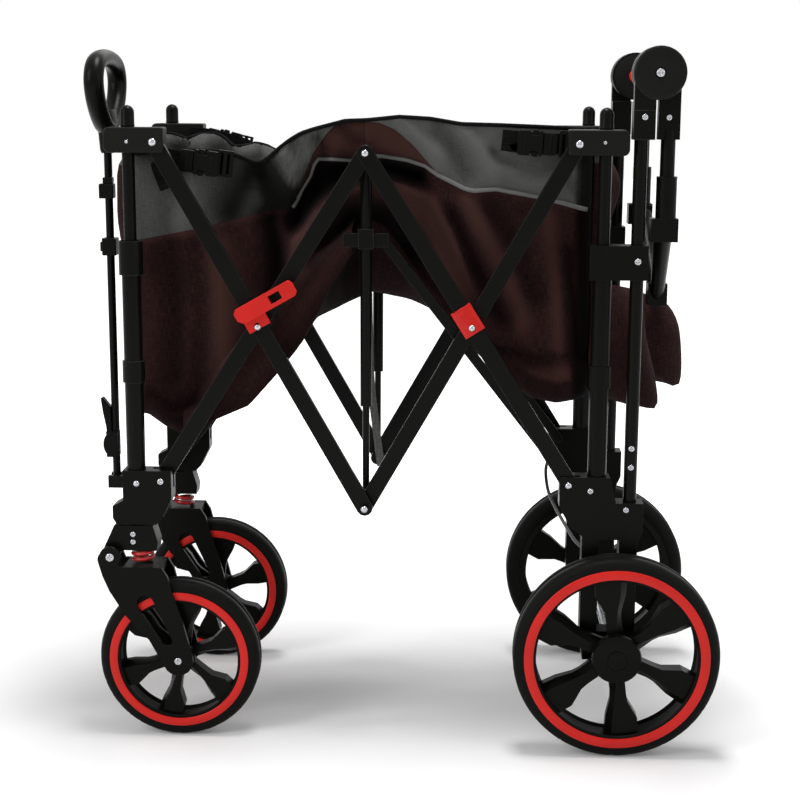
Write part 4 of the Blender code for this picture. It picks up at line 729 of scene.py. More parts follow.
# %% Cloth finishes
def cloth_finish(name, ground, fleck, flecks, thread=0.0007, bump=0.0004):
    """A woven fabric of two yarns, with painted shade in its fold hollows and a painted highlight on its ridges."""
    material = bpy.data.materials.new(name)
    tree, add = nodes_of(material)
    weave = use_group(add, weave_group, Thread=thread, Ground=(*ground, 1), Fleck=(*fleck, 1), Flecks=flecks)
    place = add("ShaderNodeTexCoord").outputs["Object"]
    soft = add("ShaderNodeTexNoise", {"Vector": place, "Scale": 55.0, "Detail": 3.0}).outputs["Fac"]
    # Painted light: the attribute read here is positive in fold hollows, where it paints shade toward near-black, and
    # negative on ridges, where it paints a highlight toward the paler fleck colour.
    painted_light = add("ShaderNodeAttribute", attribute_name="painted_light").outputs["Fac"]
    painted_shade = maths(add, "MULTIPLY", maths(add, "MULTIPLY", painted_light, 1.0, clamp=True), 0.95)
    ridge = maths(add, "MULTIPLY", maths(add, "MULTIPLY", painted_light, -1.0, clamp=True), 0.75)
    shade = blended(add, painted_shade, weave["Colour"], [v * 0.10 for v in ground] + [1])
    colour = blended(add, ridge, shade, [*fleck, 1])
    tall = maths(add, "ADD", weave["Height"], maths(add, "MULTIPLY", soft, 2.2))
    normal = add("ShaderNodeBump", {"Height": tall, "Distance": bump, "Strength": 0.7})
    shader = add("ShaderNodeBsdfPrincipled", {
        "Base Color": colour, "Roughness": weave["Roughness"], "Normal": normal.outputs[0],
        "Sheen Weight": 0.02, "Sheen Roughness": 0.5, "Specular IOR Level": 0.03})
    add("ShaderNodeOutputMaterial", {"Surface": shader.outputs[0]})
    return material


CLOTH = {
    "burgundy": cloth_finish("burgundy_melange", (0.0142, 0.0064, 0.0067), (0.073, 0.033, 0.027), 0.50),
    "grey": cloth_finish("grey_melange", (0.060, 0.060, 0.056), (0.150, 0.150, 0.144), 0.50),
    "lining": cloth_finish("dark_lining", (0.0070, 0.0068, 0.0070), (0.016, 0.016, 0.016), 0.5, thread=0.0006),
    "binding": cloth_finish("black_binding", (0.0050, 0.0050, 0.0050), (0.014, 0.014, 0.014), 0.4, thread=0.0012),
    "hem": cloth_finish("light_grey_hem", (0.12, 0.12, 0.115), (0.28, 0.28, 0.27), 0.7, thread=0.0009),
    "webbing": cloth_finish("black_webbing", (0.0050, 0.0050, 0.0050), (0.018, 0.018, 0.018), 0.5, thread=0.0016,
                            bump=0.0010),
}
print("cloths:", list(CLOTH))

# %% The tub's lines along the wagon
RIM = {-1: [(-0.272, 0.709), (-0.245, 0.713), (-0.193, 0.7135), (-0.170, 0.7120), (-0.150, 0.7065),
            (-0.1355, 0.6990), (-0.127, 0.6992), (-0.115, 0.7072), (-0.104, 0.7168), (-0.0906, 0.7268),
            (-0.078, 0.7343), (-0.062, 0.7395), (-0.026, 0.7490),
            (0.0, 0.7500), (0.038, 0.7540), (0.074, 0.7520), (0.110, 0.7460), (0.156, 0.7450),
            (0.210, 0.7430), (0.270, 0.7400)],
       1: [(-0.272, 0.728), (-0.249, 0.722), (-0.235, 0.7275), (-0.217, 0.7290), (-0.203, 0.7240),
           (-0.189, 0.7130), (-0.177, 0.7125), (-0.161, 0.7165), (-0.146, 0.7130), (-0.131, 0.7060),
           (-0.1155, 0.714), (-0.085, 0.728), (-0.055, 0.736), (0.0, 0.742),
           (0.05, 0.744), (0.13, 0.738), (0.2, 0.738), (0.270, 0.738)]}
BAND = {-1: [(-0.272, 0.6075), (-0.200, 0.622), (-0.1215, 0.6416), (-0.0976, 0.6442), (-0.0906, 0.6470),
             (-0.0748, 0.6860), (-0.0639, 0.7120), (-0.0485, 0.7335), (-0.0355, 0.7462), (-0.0084, 0.7485),
             (0.0150, 0.7470), (0.0337, 0.7386), (0.0548, 0.7206), (0.0729, 0.6999), (0.0836, 0.6880),
             (0.1156, 0.6722), (0.1262, 0.6698), (0.152, 0.6722), (0.1787, 0.6672), (0.2024, 0.6632),
             (0.2287, 0.6570), (0.2523, 0.6505), (0.270, 0.6470)],
        1: [(-0.272, 0.630), (-0.15, 0.615), (-0.10, 0.640), (0.0, 0.660), (0.10, 0.655), (0.270, 0.645)]}
HEM_DROP = 0.0015            # the hem follows the band's edge, but cuts straight across the flap
FLAP_HEM = [(-0.0796, 0.6685), (-0.0706, 0.6816), (-0.0652, 0.6967), (-0.0594, 0.7044), (-0.0400, 0.7040),
            (-0.0178, 0.7024), (0.0152, 0.7086), (0.0470, 0.7039), (0.0680, 0.6973)]
HEM = {side: [(x, z - HEM_DROP) for x, z in line] for side, line in BAND.items()}
HEM[-1][5:14] = FLAP_HEM
BOTTOM = {-1: [(-0.272, 0.390), (-0.250, 0.374), (-0.232, 0.366), (-0.210, 0.376), (-0.186, 0.391),
               (-0.141, 0.411), (-0.110, 0.446), (-0.081, 0.4815), (-0.064, 0.511), (-0.042, 0.5550),
               (-0.0154, 0.596), (0.0025, 0.604), (0.0203, 0.596), (0.042, 0.5670), (0.065, 0.5380),
               (0.091, 0.507), (0.149, 0.454), (0.197, 0.418), (0.230, 0.410), (0.270, 0.420)],
          1: [(-0.272, 0.405), (-0.232, 0.383), (-0.186, 0.398), (-0.141, 0.420), (-0.110, 0.455),
              (-0.065, 0.512), (0.0, 0.532), (0.026, 0.540), (0.075, 0.517), (0.149, 0.458),
              (0.197, 0.424), (0.270, 0.424)]}
MIDDLE = [(-0.272, 0.405), (-0.21, 0.402), (-0.141, 0.434), (-0.07, 0.505), (0.0, 0.534), (0.075, 0.518),
          (0.149, 0.474), (0.210, 0.432), (0.270, 0.430)]


def along(line, x):
    return np.interp(x, [p[0] for p in line], [p[1] for p in line])


# %% Folds pressed into the near and far walls
# Each fold: points (x, z), how far it pushes inward (negative stands out), and its half width
FOLDS = {-1: [
    ([(-0.086, 0.628), (-0.070, 0.664), (-0.056, 0.690), (-0.020, 0.690), (0.020, 0.694), (0.060, 0.684)],
     0.020, 0.0090),
    ([(-0.080, 0.655), (-0.045, 0.675), (-0.020, 0.685)], 0.014, 0.016),
    ([(-0.100, 0.535), (-0.086, 0.575), (-0.078, 0.610), (-0.060, 0.640), (-0.040, 0.6600), (-0.0025, 0.6760),
      (0.0389, 0.6660), (0.070, 0.646), (0.0900, 0.618), (0.104, 0.585), (0.118, 0.550)], -0.0100, 0.0115),
    ([(-0.035, 0.600), (-0.010, 0.630), (0.015, 0.632), (0.040, 0.600)], 0.016, 0.020),
    ([(-0.118, 0.632), (-0.108, 0.590), (-0.104, 0.550), (-0.120, 0.500)], 0.011, 0.012),
    ([(-0.129, 0.692), (-0.113, 0.670), (-0.102, 0.650)], 0.010, 0.011),
    ([(-0.130, 0.690), (-0.150, 0.668), (-0.165, 0.640)], 0.004, 0.014),
    ([(-0.098, 0.706), (-0.088, 0.690), (-0.083, 0.672)], -0.006, 0.007),
    ([(-0.175, 0.700), (-0.205, 0.665), (-0.225, 0.625)], -0.003, 0.012),
    ([(-0.238, 0.600), (-0.232, 0.520), (-0.236, 0.440)], 0.004, 0.011),
    ([(-0.180, 0.600), (-0.172, 0.520), (-0.168, 0.430)], -0.004, 0.013),
    ([(-0.205, 0.600), (-0.200, 0.500), (-0.205, 0.410)], 0.003, 0.010),
    ([(-0.262, 0.420), (-0.240, 0.405), (-0.205, 0.408), (-0.165, 0.425)], 0.005, 0.006),
    ([(0.100, 0.640), (0.118, 0.600), (0.135, 0.560), (0.160, 0.520)], 0.007, 0.010),
    ([(0.118, 0.655), (0.145, 0.610), (0.170, 0.560), (0.185, 0.510)], -0.004, 0.011),
    ([(0.150, 0.650), (0.180, 0.600), (0.200, 0.550)], 0.005, 0.011),
    ([(0.215, 0.640), (0.222, 0.580), (0.232, 0.520), (0.236, 0.460)], -0.004, 0.010),
    ([(0.240, 0.600), (0.246, 0.540), (0.250, 0.480)], 0.006, 0.008),
    ([(0.120, 0.500), (0.150, 0.482), (0.200, 0.468), (0.262, 0.470)], 0.005, 0.006),
    ([(0.150, 0.470), (0.190, 0.446), (0.262, 0.444)], -0.004, 0.007),
    ([(0.190, 0.434), (0.230, 0.430), (0.262, 0.436)], 0.005, 0.005),
    ([(-0.060, 0.575), (-0.045, 0.545), (-0.040, 0.525)], 0.006, 0.010),
    ([(0.055, 0.600), (0.075, 0.560), (0.100, 0.520)], 0.006, 0.010),
    ([(-0.058, 0.728), (-0.050, 0.716), (-0.052, 0.706)], 0.006, 0.006),
    ([(-0.030, 0.742), (-0.015, 0.728), (0.006, 0.716)], 0.004, 0.006),
    ([(0.040, 0.746), (0.062, 0.726), (0.085, 0.704)], -0.003, 0.007),
    ([(0.085, 0.740), (0.105, 0.716), (0.118, 0.690)], 0.005, 0.008),
    ([(0.112, 0.738), (0.135, 0.712), (0.150, 0.690)], -0.003, 0.008),
    ([(0.150, 0.712), (0.180, 0.694), (0.215, 0.690)], 0.004, 0.006),
    ([(0.160, 0.694), (0.190, 0.680), (0.225, 0.674)], -0.003, 0.006),
    ([(0.225, 0.700), (0.240, 0.680), (0.250, 0.664)], 0.004, 0.006)],
    1: [
    ([(-0.143, 0.690), (-0.125, 0.660), (-0.115, 0.600)], 0.010, 0.011),
    ([(-0.110, 0.560), (-0.070, 0.640), (-0.020, 0.672), (0.030, 0.668), (0.080, 0.630), (0.110, 0.560)],
     -0.006, 0.012),
    ([(-0.030, 0.600), (0.0, 0.630), (0.030, 0.600)], 0.014, 0.022),
    ([(-0.225, 0.600), (-0.215, 0.500), (-0.220, 0.420)], 0.004, 0.012),
    ([(-0.180, 0.600), (-0.172, 0.500), (-0.168, 0.430)], -0.004, 0.013),
    ([(0.110, 0.640), (0.150, 0.570), (0.180, 0.500)], 0.007, 0.011),
    ([(0.160, 0.650), (0.200, 0.560), (0.215, 0.480)], -0.004, 0.012),
    ([(0.235, 0.620), (0.245, 0.540), (0.248, 0.460)], 0.005, 0.010),
    ([(0.120, 0.500), (0.200, 0.466), (0.262, 0.466)], 0.005, 0.007),
    ([(0.060, 0.735), (0.090, 0.700), (0.110, 0.670)], 0.005, 0.008),
    ([(-0.060, 0.725), (-0.040, 0.700), (-0.045, 0.670)], 0.006, 0.009),
    ([(-0.249, 0.724), (-0.243, 0.700), (-0.246, 0.670)], 0.008, 0.008),
    ([(-0.222, 0.730), (-0.214, 0.705), (-0.218, 0.680)], -0.007, 0.010),
    ([(-0.186, 0.716), (-0.180, 0.695), (-0.190, 0.670)], 0.008, 0.009),
    ([(-0.158, 0.718), (-0.152, 0.695), (-0.160, 0.665)], -0.006, 0.009)]}


def distance_to(points, x, z):
    """How far each place is from a bent line."""
    best = np.full(x.shape, 9.0)
    for (x0, z0), (x1, z1) in zip(points, points[1:]):
        dx, dz = x1 - x0, z1 - z0
        t = np.clip(((x - x0) * dx + (z - z0) * dz) / (dx * dx + dz * dz), 0, 1)
        best = np.minimum(best, np.hypot(x - x0 - t * dx, z - z0 - t * dz))
    return best


def ripple(x, z, seed):
    """Small uneven waves, the same in every run."""
    flat = zip(np.ravel(x), np.ravel(z))
    wave = [noise.noise(Vector((a * 16, seed, b * 9))) * 0.0022
            + noise.noise(Vector((a * 46, seed + 3, b * 30))) * 0.0009 for a, b in flat]
    return np.array(wave).reshape(np.shape(x))


print("folds:", {side: len(f) for side, f in FOLDS.items()})

# %% How far the walls stand out
WALL_Y, OUTERMOST, INNERMOST = 0.1075, 0.1142, 0.074
OVER_STRUT = 0.1304          # where the cloth outside the near strut hangs
CORNER_R = 0.013
DEEPER, WIDER = 1.7, 1.15    # the folds as sewn, from the folds as listed
FLAP_OUT, FLAP_REACH = 0.0055, 0.10


def strut_at(x):
    """Height of the near front floor strut."""
    return 0.6168 + 1.2634 * (x + 0.0139)


def rise(t):
    """A soft step from 0 to 1."""
    t = np.clip(t, 0, 1)
    return t * t * (3 - 2 * t)


def furthest(x, z, side):
    """How far out a wall may stand: up to the bars in front, above the near strut."""
    room = OUTERMOST - 0.0012 * (np.abs(x) < 0.020)
    if side > 0:
        return room
    free = rise((z - strut_at(x) - 0.012) / 0.020) * rise((-0.030 - x) / 0.020)
    return room + (OVER_STRUT - OUTERMOST) * free


def painted_fold_light(depth):
    """Share of painted light at a place, from how far it is pushed in: painted shade in hollows, a painted brown
    highlight on ridges.
    """
    inward = WALL_Y - 0.0010 - depth
    return float(np.clip(inward / (0.019 if inward > 0 else 0.009), -1, 1))


def wall_depth(x, z, side):
    """How far a wall stands from the middle, with its folds."""
    inward = ripple(x, z, 5.0 + side)
    for points, depth, width in FOLDS[side]:
        inward = inward + depth * DEEPER * np.exp(-(distance_to(points, x, z) / (width * WIDER)) ** 2)
    if side < 0:
        flap = np.clip((z - along(HEM[side], x)) / 0.004, 0, 1)
        inward = inward - FLAP_OUT * flap * np.clip(1 - np.abs(x + 0.003) / FLAP_REACH, 0, 1) ** 0.5
    depth = np.minimum(WALL_Y - inward, furthest(x, z, side))
    return np.maximum(depth, INNERMOST)


print("wall:", WALL_Y, "m from the middle, at most", OVER_STRUT)

# %% [markdown]
# ## The cloth tub: two halves
# The tub folds in the middle, so it is two halves that lap there. Each half follows the corner
# castings at its end and the sliding middle at the other, and the cloth between is blended. A
# second skin a little inside is the lining, and a rolled black binding closes the rim.

# %% Rows and sections of one half
WALL_ROWS = (7, 6, 25)       # rim to band, band to hem, hem to the round of the floor
ROUND_ROWS, FLOOR_COLUMNS = 5, 22
HEM_ROW = WALL_ROWS[0] + WALL_ROWS[1]
WALL_COUNT = sum(WALL_ROWS) + ROUND_ROWS
FLOOR_R, SKIN = 0.026, 0.0022
FRONT_BELLY = 0.027          # how far the front panel stands out
BEHIND_POST = 0.246          # from here on the cloth is painted with the rear post's shadow


def wall_rows(x, side):
    """Heights of the rows of one wall at one place along the wagon."""
    rim_z, band, hem = (along(line[side], x) for line in (RIM, BAND, HEM))
    band = min(band, rim_z - 0.0016)
    hem = min(hem, band - 0.0014)
    levels = [rim_z, band, hem, along(BOTTOM[side], x) + FLOOR_R]
    heights = [rim_z]
    for count, high, low in zip(WALL_ROWS, levels, levels[1:]):
        heights += [high + (low - high) * k / count for k in range(1, count + 1)]
    return np.array(heights)


def corner_in(x, end_x):
    """How far a wall turns in as it nears the end panel."""
    t = np.clip((abs(x) - (abs(end_x) - CORNER_R)) / CORNER_R, 0, 0.96)
    return CORNER_R * (1 - sqrt(1 - t * t))


def section(x, end_x, nest):
    """One cross-section from the near rim round the floor to the far rim."""
    walls = []
    for side in (-1, 1):
        z = wall_rows(x, side)
        y = wall_depth(np.full(z.shape, x), z, side) - nest - corner_in(x, end_x)
        wall = [(side * a, b) for a, b in zip(y, z)]
        for k in range(1, ROUND_ROWS):
            a = pi / 2 * k / ROUND_ROWS
            wall.append((side * (y[-1] - FLOOR_R * (1 - cos(a))), z[-1] - FLOOR_R * sin(a)))
        walls.append(wall)
    near_foot, far_foot = (along(BOTTOM[side], x) for side in (-1, 1))
    y0, y1 = (wall[-ROUND_ROWS][0] - side * FLOOR_R for wall, side in zip(walls, (-1, 1)))
    middle = along(MIDDLE, x)
    floor = []
    for t in np.arange(FLOOR_COLUMNS + 1) / FLOOR_COLUMNS:
        lift = sin(pi * t) ** 0.8
        sag = noise.noise(Vector((x * 14, 2.5, t * 5))) * 0.004 * lift
        edge = near_foot * (1 - t) + far_foot * t
        floor.append((y0 + (y1 - y0) * t, edge * (1 - lift) + middle * lift + sag))
    return walls[0] + floor + walls[1][::-1]


def tub_columns(end_x, lap):
    """Places along the wagon: even, then closer round the corner."""
    body = np.linspace(lap, end_x * (1 - CORNER_R / abs(end_x)), 52)
    turn = [end_x - np.sign(end_x) * CORNER_R * (1 - sin(a)) for a in np.linspace(0.25, 1.35, 5)]
    return np.concatenate([body, turn])


def end_panel(last, end_x):
    """Rows across the end, from the last section of one wall to that of the other."""
    grid = []
    for i in range(WALL_COUNT):
        near, far = last[i], last[-1 - i]
        row = []
        for t in np.arange(1, FLOOR_COLUMNS) / FLOOR_COLUMNS:
            bow = sin(pi * t)
            y = near[0] * (1 - t) + far[0] * t
            z = near[1] * (1 - t) + far[1] * t - 0.006 * bow * max(0, 1 - i / WALL_ROWS[0])
            belly = -0.003 * bow
            if end_x < 0:
                u = abs(2 * t - 1)
                share = rise(u / 0.4) * rise((z - 0.50) / 0.14) * rise((0.735 - z) / 0.05)
                belly = FRONT_BELLY * (1 - u ** 7) * share
            crease = noise.noise(Vector((y * 30, z * 12, end_x))) + sin(y * 95 + z * 8) * min(1, i / 10)
            deep = 0.003 * bow * (1 + crease) - belly
            row.append((end_x - np.sign(end_x) * deep, y, z))
        grid.append(row)
    return grid


def cloth_face(bm, flat, corners, kind, places):
    """A face of the cloth, with its places in the weave."""
    face = bm.faces.new(corners)
    face.material_index = kind
    for loop, where in zip(face.loops, places):
        loop[flat].uv = where
    return face


print("rows in a wall:", WALL_COUNT)

# %% The part that hangs outside the near strut
COVER_COLUMNS, COVER_SHARES = np.linspace(-0.225, -0.0165, 44), np.linspace(0, 1, 16)


def strut_cover(bm, flat, painted_light):
    """The part of the near wall that hangs outside the strut, from the arch to the lowest corner."""
    outer = []
    for x in COVER_COLUMNS:
        low, high = along(BOTTOM[-1], x), strut_at(x) + 0.022 + 0.026 * rise((-0.016 - x) / 0.05)
        edge = rise((x + 0.226) / 0.012)
        column = []
        for t in COVER_SHARES:
            z = high + (low - high) * t
            here = np.array([x]), np.array([z])
            near = float(wall_depth(*here, -1)[0]) + 0.0007
            wave = ripple(*here, 4.0)[0] * 0.45
            out = rise((high - z) / max(0.006, high - strut_at(x) - 0.010))
            y = near + max(0, OVER_STRUT - 0.0009 - wave - near) * out * edge
            vert = bm.verts.new((x, -min(y, OVER_STRUT), z))
            # Painted light: where the cloth hangs out over the strut it is painted a little paler in its upper part
            # and darker toward its bottom.
            vert[painted_light] = painted_fold_light(near) * (1 - out) + out * (-0.15 + 0.55 * rise((t - 0.55) / 0.45))
            column.append(vert)
        outer.append(column)
    inner = [[bm.verts.new(v.co + Vector((0, SKIN, 0))) for v in column] for column in outer]

    def patch(skins, places, kind):
        return cloth_face(bm, flat, [skin[i][k] for skin, (i, k) in zip(skins, places)], kind,
                          [(COVER_COLUMNS[i], 0.7 - COVER_SHARES[k] * 0.12) for i, k in places])

    area, n, m = 0, len(COVER_COLUMNS), len(COVER_SHARES)
    for i in range(n - 1):
        for k in range(m - 1):
            places = ((i, k), (i, k + 1), (i + 1, k + 1), (i + 1, k))
            area += patch([outer] * 4, places, 0).calc_area()
            patch([inner] * 4, places[::-1], 2)
    border = [(i, 0) for i in range(n)] + [(n - 1, k) for k in range(1, m)] \
        + [(i, m - 1) for i in range(n - 2, -1, -1)] + [(0, k) for k in range(m - 2, 0, -1)]
    for a, b in zip(border, border[1:] + border[:1]):
        patch((outer, outer, inner, inner), (a, b, b, a), 0)
    return area


print("strut cover:", len(COVER_COLUMNS), "columns")

# %% Both halves
def shade_at(x, y, row):
    """The painted light at a place: painted shade in fold hollows and highlight on ridges, then painted shade or
    highlight where parts lie darker or paler.
    """
    # The floor and its rounds get painted shade: deep under the arch, light elsewhere.
    share = painted_fold_light(abs(y)) if row < sum(WALL_ROWS) else 0.85 if -0.10 < x < -0.015 else 0.25
    if row <= WALL_ROWS[0]:
        # On the band: painted shade toward the front, a painted highlight toward the rear.
        share += 0.70 * rise((x + 0.215) / 0.05) * rise((-0.070 - x) / 0.02) - 0.45 * rise((x - 0.06) / 0.03)
    elif row <= HEM_ROW and y < 0:
        # Between band and hem on the near side: a painted highlight.
        share -= 0.55
    # Painted shadow of the rear post on the cloth behind it.
    if x > BEHIND_POST:
        share = max(share, min(1, (x - BEHIND_POST) / 0.003))
    return float(share)


def tub_half(name, end_x, lap, nest):
    """One half as a piece, with its lining, binding and hem; also the area of its cloth."""
    columns = tub_columns(end_x, lap)
    sections = [section(x, end_x, nest * float(np.clip(1 - (abs(x) - 0.05) / 0.03, 0, 1))) for x in columns]
    bm = bmesh.new()
    painted_light = bm.verts.layers.float.new("painted_light")
    flat = bm.loops.layers.uv.new(CLOTH_UV)
    grid = [[bm.verts.new((x, y, z)) for y, z in row] for x, row in zip(columns, sections)]
    rows_all = len(grid[0])
    for x, column in zip(columns, grid):
        for i, vert in enumerate(column):
            vert[painted_light] = shade_at(x, vert.co.y, min(i, rows_all - 1 - i))
    runs = [np.cumsum([0.0] + [sqrt((a[0] - b[0]) ** 2 + (a[1] - b[1]) ** 2) for a, b in zip(row, row[1:])])
            for row in sections]

    def kind_of(row):
        return 1 if min(row, rows_all - 2 - row) < WALL_ROWS[0] else 0

    for c in range(len(grid) - 1):
        for r in range(rows_all - 1):
            places = ((c, r), (c, r + 1), (c + 1, r + 1), (c + 1, r))
            cloth_face(bm, flat, [grid[i][k] for i, k in places], kind_of(r),
                       [(columns[i], runs[i][k]) for i, k in places])
    last = grid[-1]
    panel = [[last[i]] + [bm.verts.new(p) for p in row] + [last[-1 - i]]
             for i, row in enumerate(end_panel(sections[-1], end_x))]
    panel.append(last[WALL_COUNT:rows_all - WALL_COUNT])
    for i, (upper, lower) in enumerate(zip(panel, panel[1:])):
        for k in range(len(upper) - 1):
            corners = (upper[k], upper[k + 1], lower[k + 1], lower[k])
            cloth_face(bm, flat, corners, kind_of(i) if end_x > 0 or i < 1 else 0,
                       [(v.co.y + 1.0, v.co.z) for v in corners])

    # The lining: every face again, a skin's thickness inside, and joined at the free edge
    bmesh.ops.recalc_face_normals(bm, faces=bm.faces)
    bm.normal_update()
    middle = Vector((end_x / 2, 0, 0.6))
    outward = sum(1 if f.normal.dot(f.calc_center_median() - middle) > 0 else -1 for f in bm.faces)
    if outward < 0:
        bmesh.ops.reverse_faces(bm, faces=bm.faces)
        bm.normal_update()
    area = sum(f.calc_area() for f in bm.faces)
    edges = [edge for edge in bm.edges if edge.is_boundary]
    skin = {v: bm.verts.new(v.co - v.normal * SKIN) for v in list(bm.verts)}
    for edge in edges:
        a, b = edge.verts
        cloth_face(bm, flat, (a, b, skin[b], skin[a]), edge.link_faces[0].material_index,
                   [edge.link_loops[0][flat].uv.copy()] * 4)
    for face in [f for f in bm.faces if all(v in skin for v in f.verts)]:
        cloth_face(bm, flat, [skin[v] for v in reversed(face.verts)], 1 if face.material_index == 1 else 2,
                   [loop[flat].uv.copy() for loop in reversed(face.loops)])

    hem_span = range(len(columns) - 3)
    if end_x < 0:
        area += strut_cover(bm, flat, painted_light)
        hem_span = [c for c, x in enumerate(columns) if x > -0.092]
    rim_line = [row[0] for row in grid] + panel[0][1:-1] + [row[-1] for row in grid[::-1]]
    swept(bm, [v.co.copy() for v in rim_line], round_section(0.0024, 8), 3)
    swept(bm, [grid[c][HEM_ROW].co + Vector((0, -0.0012, 0)) for c in hem_span], round_section(0.0026, 8), 4)
    half = finished(name, bm, None, "fabric", [CLOTH[k] for k in ("burgundy", "grey", "lining", "binding", "hem")],
                    sharp=0)
    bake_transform(half)
    return half, area


front_cloth, front_area = tub_half("tub_cloth_front", -0.2835, 0.006, 0.0025)
rear_cloth, rear_area = tub_half("tub_cloth_rear", 0.266, -0.002, 0.0)
print("tub cloth:", round(front_area, 3), "+", round(rear_area, 3), "m2")

for half, area, hung in ((front_cloth, front_area, "front"), (rear_cloth, rear_area, "rear")):
    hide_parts(f"tub_{hung}")

# %% [markdown]
# ## Rear pocket
# Behind the posts hangs a storage pocket whose lower part has slipped out in two soft lobes. A
# stuffed pouch is hard to show with flat sheets, so each lobe is a pillow: its outline shrinks
# toward the middle while the faces swell out, with a few waves so that it looks limp.

# %% Pocket lobes
NEAR_LOBE = [(0.268, 0.560), (0.300, 0.552), (0.330, 0.536), (0.3385, 0.490), (0.351, 0.4415),
             (0.3545, 0.4045), (0.334, 0.404), (0.300, 0.412), (0.268, 0.430)]
FAR_LOBE = [(0.268, 0.545), (0.330, 0.535), (0.366, 0.5205), (0.3835, 0.510), (0.3965, 0.477),
            (0.3985, 0.4116), (0.3737, 0.4126), (0.320, 0.422), (0.268, 0.440)]
LOBE_POINTS, LOBE_THICK = 48, 0.076
RING_SHARES = (1.0, 0.975, 0.92, 0.82, 0.68, 0.50, 0.30, 0.12)


def pillow(bm, outline, y, seed):
    """A closed pouch between two faces that swell out from an outline."""
    flat = bm.loops.layers.uv.new(CLOTH_UV)
    loop = smooth_path([(a, 0, b) for a, b in outline + outline[:1]], LOBE_POINTS + 1)[:-1]
    middle = sum(loop, Vector()) / LOBE_POINTS
    steps = [(i, (i + 1) % LOBE_POINTS) for i in range(LOBE_POINTS)]
    borders = []
    for way in (-1, 1):
        rings = []
        for share in RING_SHARES:
            swell = LOBE_THICK / 2 * (1 - share ** 3.2) ** 0.55 + 0.0012
            ring = []
            for p in loop:
                q = middle + (p - middle) * share
                wave = noise.noise(Vector((q.x * 34, seed + way, q.z * 22))) * 0.0035 * (1 - share ** 4)
                ring.append(bm.verts.new((q.x, y + way * (swell + wave), q.z)))
            rings.append(ring)
        tip = bm.verts.new((middle.x, y + way * LOBE_THICK / 2, middle.z))
        for a, b in zip(rings, rings[1:]):
            for i, k in steps:
                bm.faces.new((a[i], a[k], b[k], b[i]))
        for i, k in steps:
            bm.faces.new((rings[-1][i], rings[-1][k], tip))
        borders.append(rings[0])
    near, far = borders
    for i, k in steps:
        bm.faces.new((near[i], near[k], far[k], far[i]))
    for face in bm.faces:
        for corner in face.loops:
            corner[flat].uv = (corner.vert.co.x + y, corner.vert.co.z)


for label, outline, y, seed in (("near", NEAR_LOBE, -0.066, 1.3), ("far", FAR_LOBE, 0.062, 7.1)):
    bm = bmesh.new()
    pillow(bm, outline, y, seed)
    lobe = finished(f"pocket_lobe_{label}", bm, "rear_top", "fabric", [CLOTH["burgundy"]], sharp=0)
print("pocket lobes: 2")

# %% The panel they hang from
POCKET = [(0.724, 0.0045), (0.712, 0.012), (0.695, 0.026), (0.675, 0.033), (0.655, 0.030), (0.630, 0.022),
          (0.600, 0.016), (0.560, 0.020), (0.520, 0.028), (0.480, 0.026), (0.450, 0.017), (0.432, 0.006)]
PANEL_X, PANEL_HALF, PANEL_COLUMNS = 0.2675, 0.098, 25
PANEL_BAND_Z = 0.702         # above this the panel is grey
bm = bmesh.new()
flat = bm.loops.layers.uv.new(CLOTH_UV)
rows = []
for p in smooth_path([(out, 0, z) for z, out in POCKET], 34):
    row = []
    for t in np.arange(PANEL_COLUMNS) / (PANEL_COLUMNS - 1):
        y = PANEL_HALF * (2 * t - 1)
        bow = sin(pi * t) ** 0.35
        wave = 0.005 * sin(y * 90 + p.z * 14) * bow + noise.noise(Vector((y * 24, 3.7, p.z * 16))) * 0.004 * bow
        row.append(bm.verts.new((PANEL_X + max(0.0006, p.x * bow + wave * min(1, p.x / 0.012)), y, p.z)))
    rows.append(row)
for a, b in zip(rows, rows[1:]):
    for k in range(PANEL_COLUMNS - 1):
        face = bm.faces.new((a[k], a[k + 1], b[k + 1], b[k]))
        face.material_index = 1 if a[k].co.z > PANEL_BAND_Z else 0
        for corner in face.loops:
            corner[flat].uv = (corner.vert.co.y, corner.vert.co.z)
pocket_area = sum(face.calc_area() for face in bm.faces)
swept(bm, [v.co + Vector((0.0008, 0, 0)) for v in rows[0]], round_section(0.0022, 8), 2)
pocket = finished("rear_pocket_panel", bm, "rear_top", "fabric", [CLOTH[k] for k in ("burgundy", "grey", "binding")],
                  sharp=0)
skin = pocket.modifiers.new("cloth", "SOLIDIFY")
skin.thickness = 0.0016
skin.offset = -1
print("pocket panel:", round(pocket_area, 3), "m2")

# %% [markdown]
# ## Webbing straps and buckles
# Straps tie the band to the corners through side-release buckles. Webbing is flat and stiff
# across its width, so it is a thin section swept along a path whose face is kept outward.

# %% Webbing, and plates that lie along a strap
def ribbon(bm, path, width, thick, out, kind, count=24):
    """Webbing along a path, with its flat side kept outward."""
    flat = bm.loops.layers.uv.verify()
    before = set(bm.faces)
    swept(bm, smooth_path(path, count), rectangle(-width / 2, width / 2, -thick / 2, thick / 2), kind, side=out)
    for face in bm.faces:
        if face not in before:
            for corner in face.loops:
                corner[flat].uv = (corner.vert.co.x, corner.vert.co.z)


def plates(bm, at, way, side):
    """A helper that adds plates on a strap: an outline of (along, across), from low to high."""
    u, n = Vector(way).normalized(), Vector((0, side, 0))
    return lambda outline, low, high: slab(bm, outline, at, (u, n.cross(u), n), low, high)


def both_halves(half):
    """An outline from its upper half."""
    return half + [(a, -b) for a, b in reversed(half)]


print("webbing helpers ready")

# %% Buckles and ladder locks
BUCKLE_LONG, BUCKLE_HIGH = 0.046, 0.030
LOCK_LONG, LOCK_HIGH = 0.018, 0.031
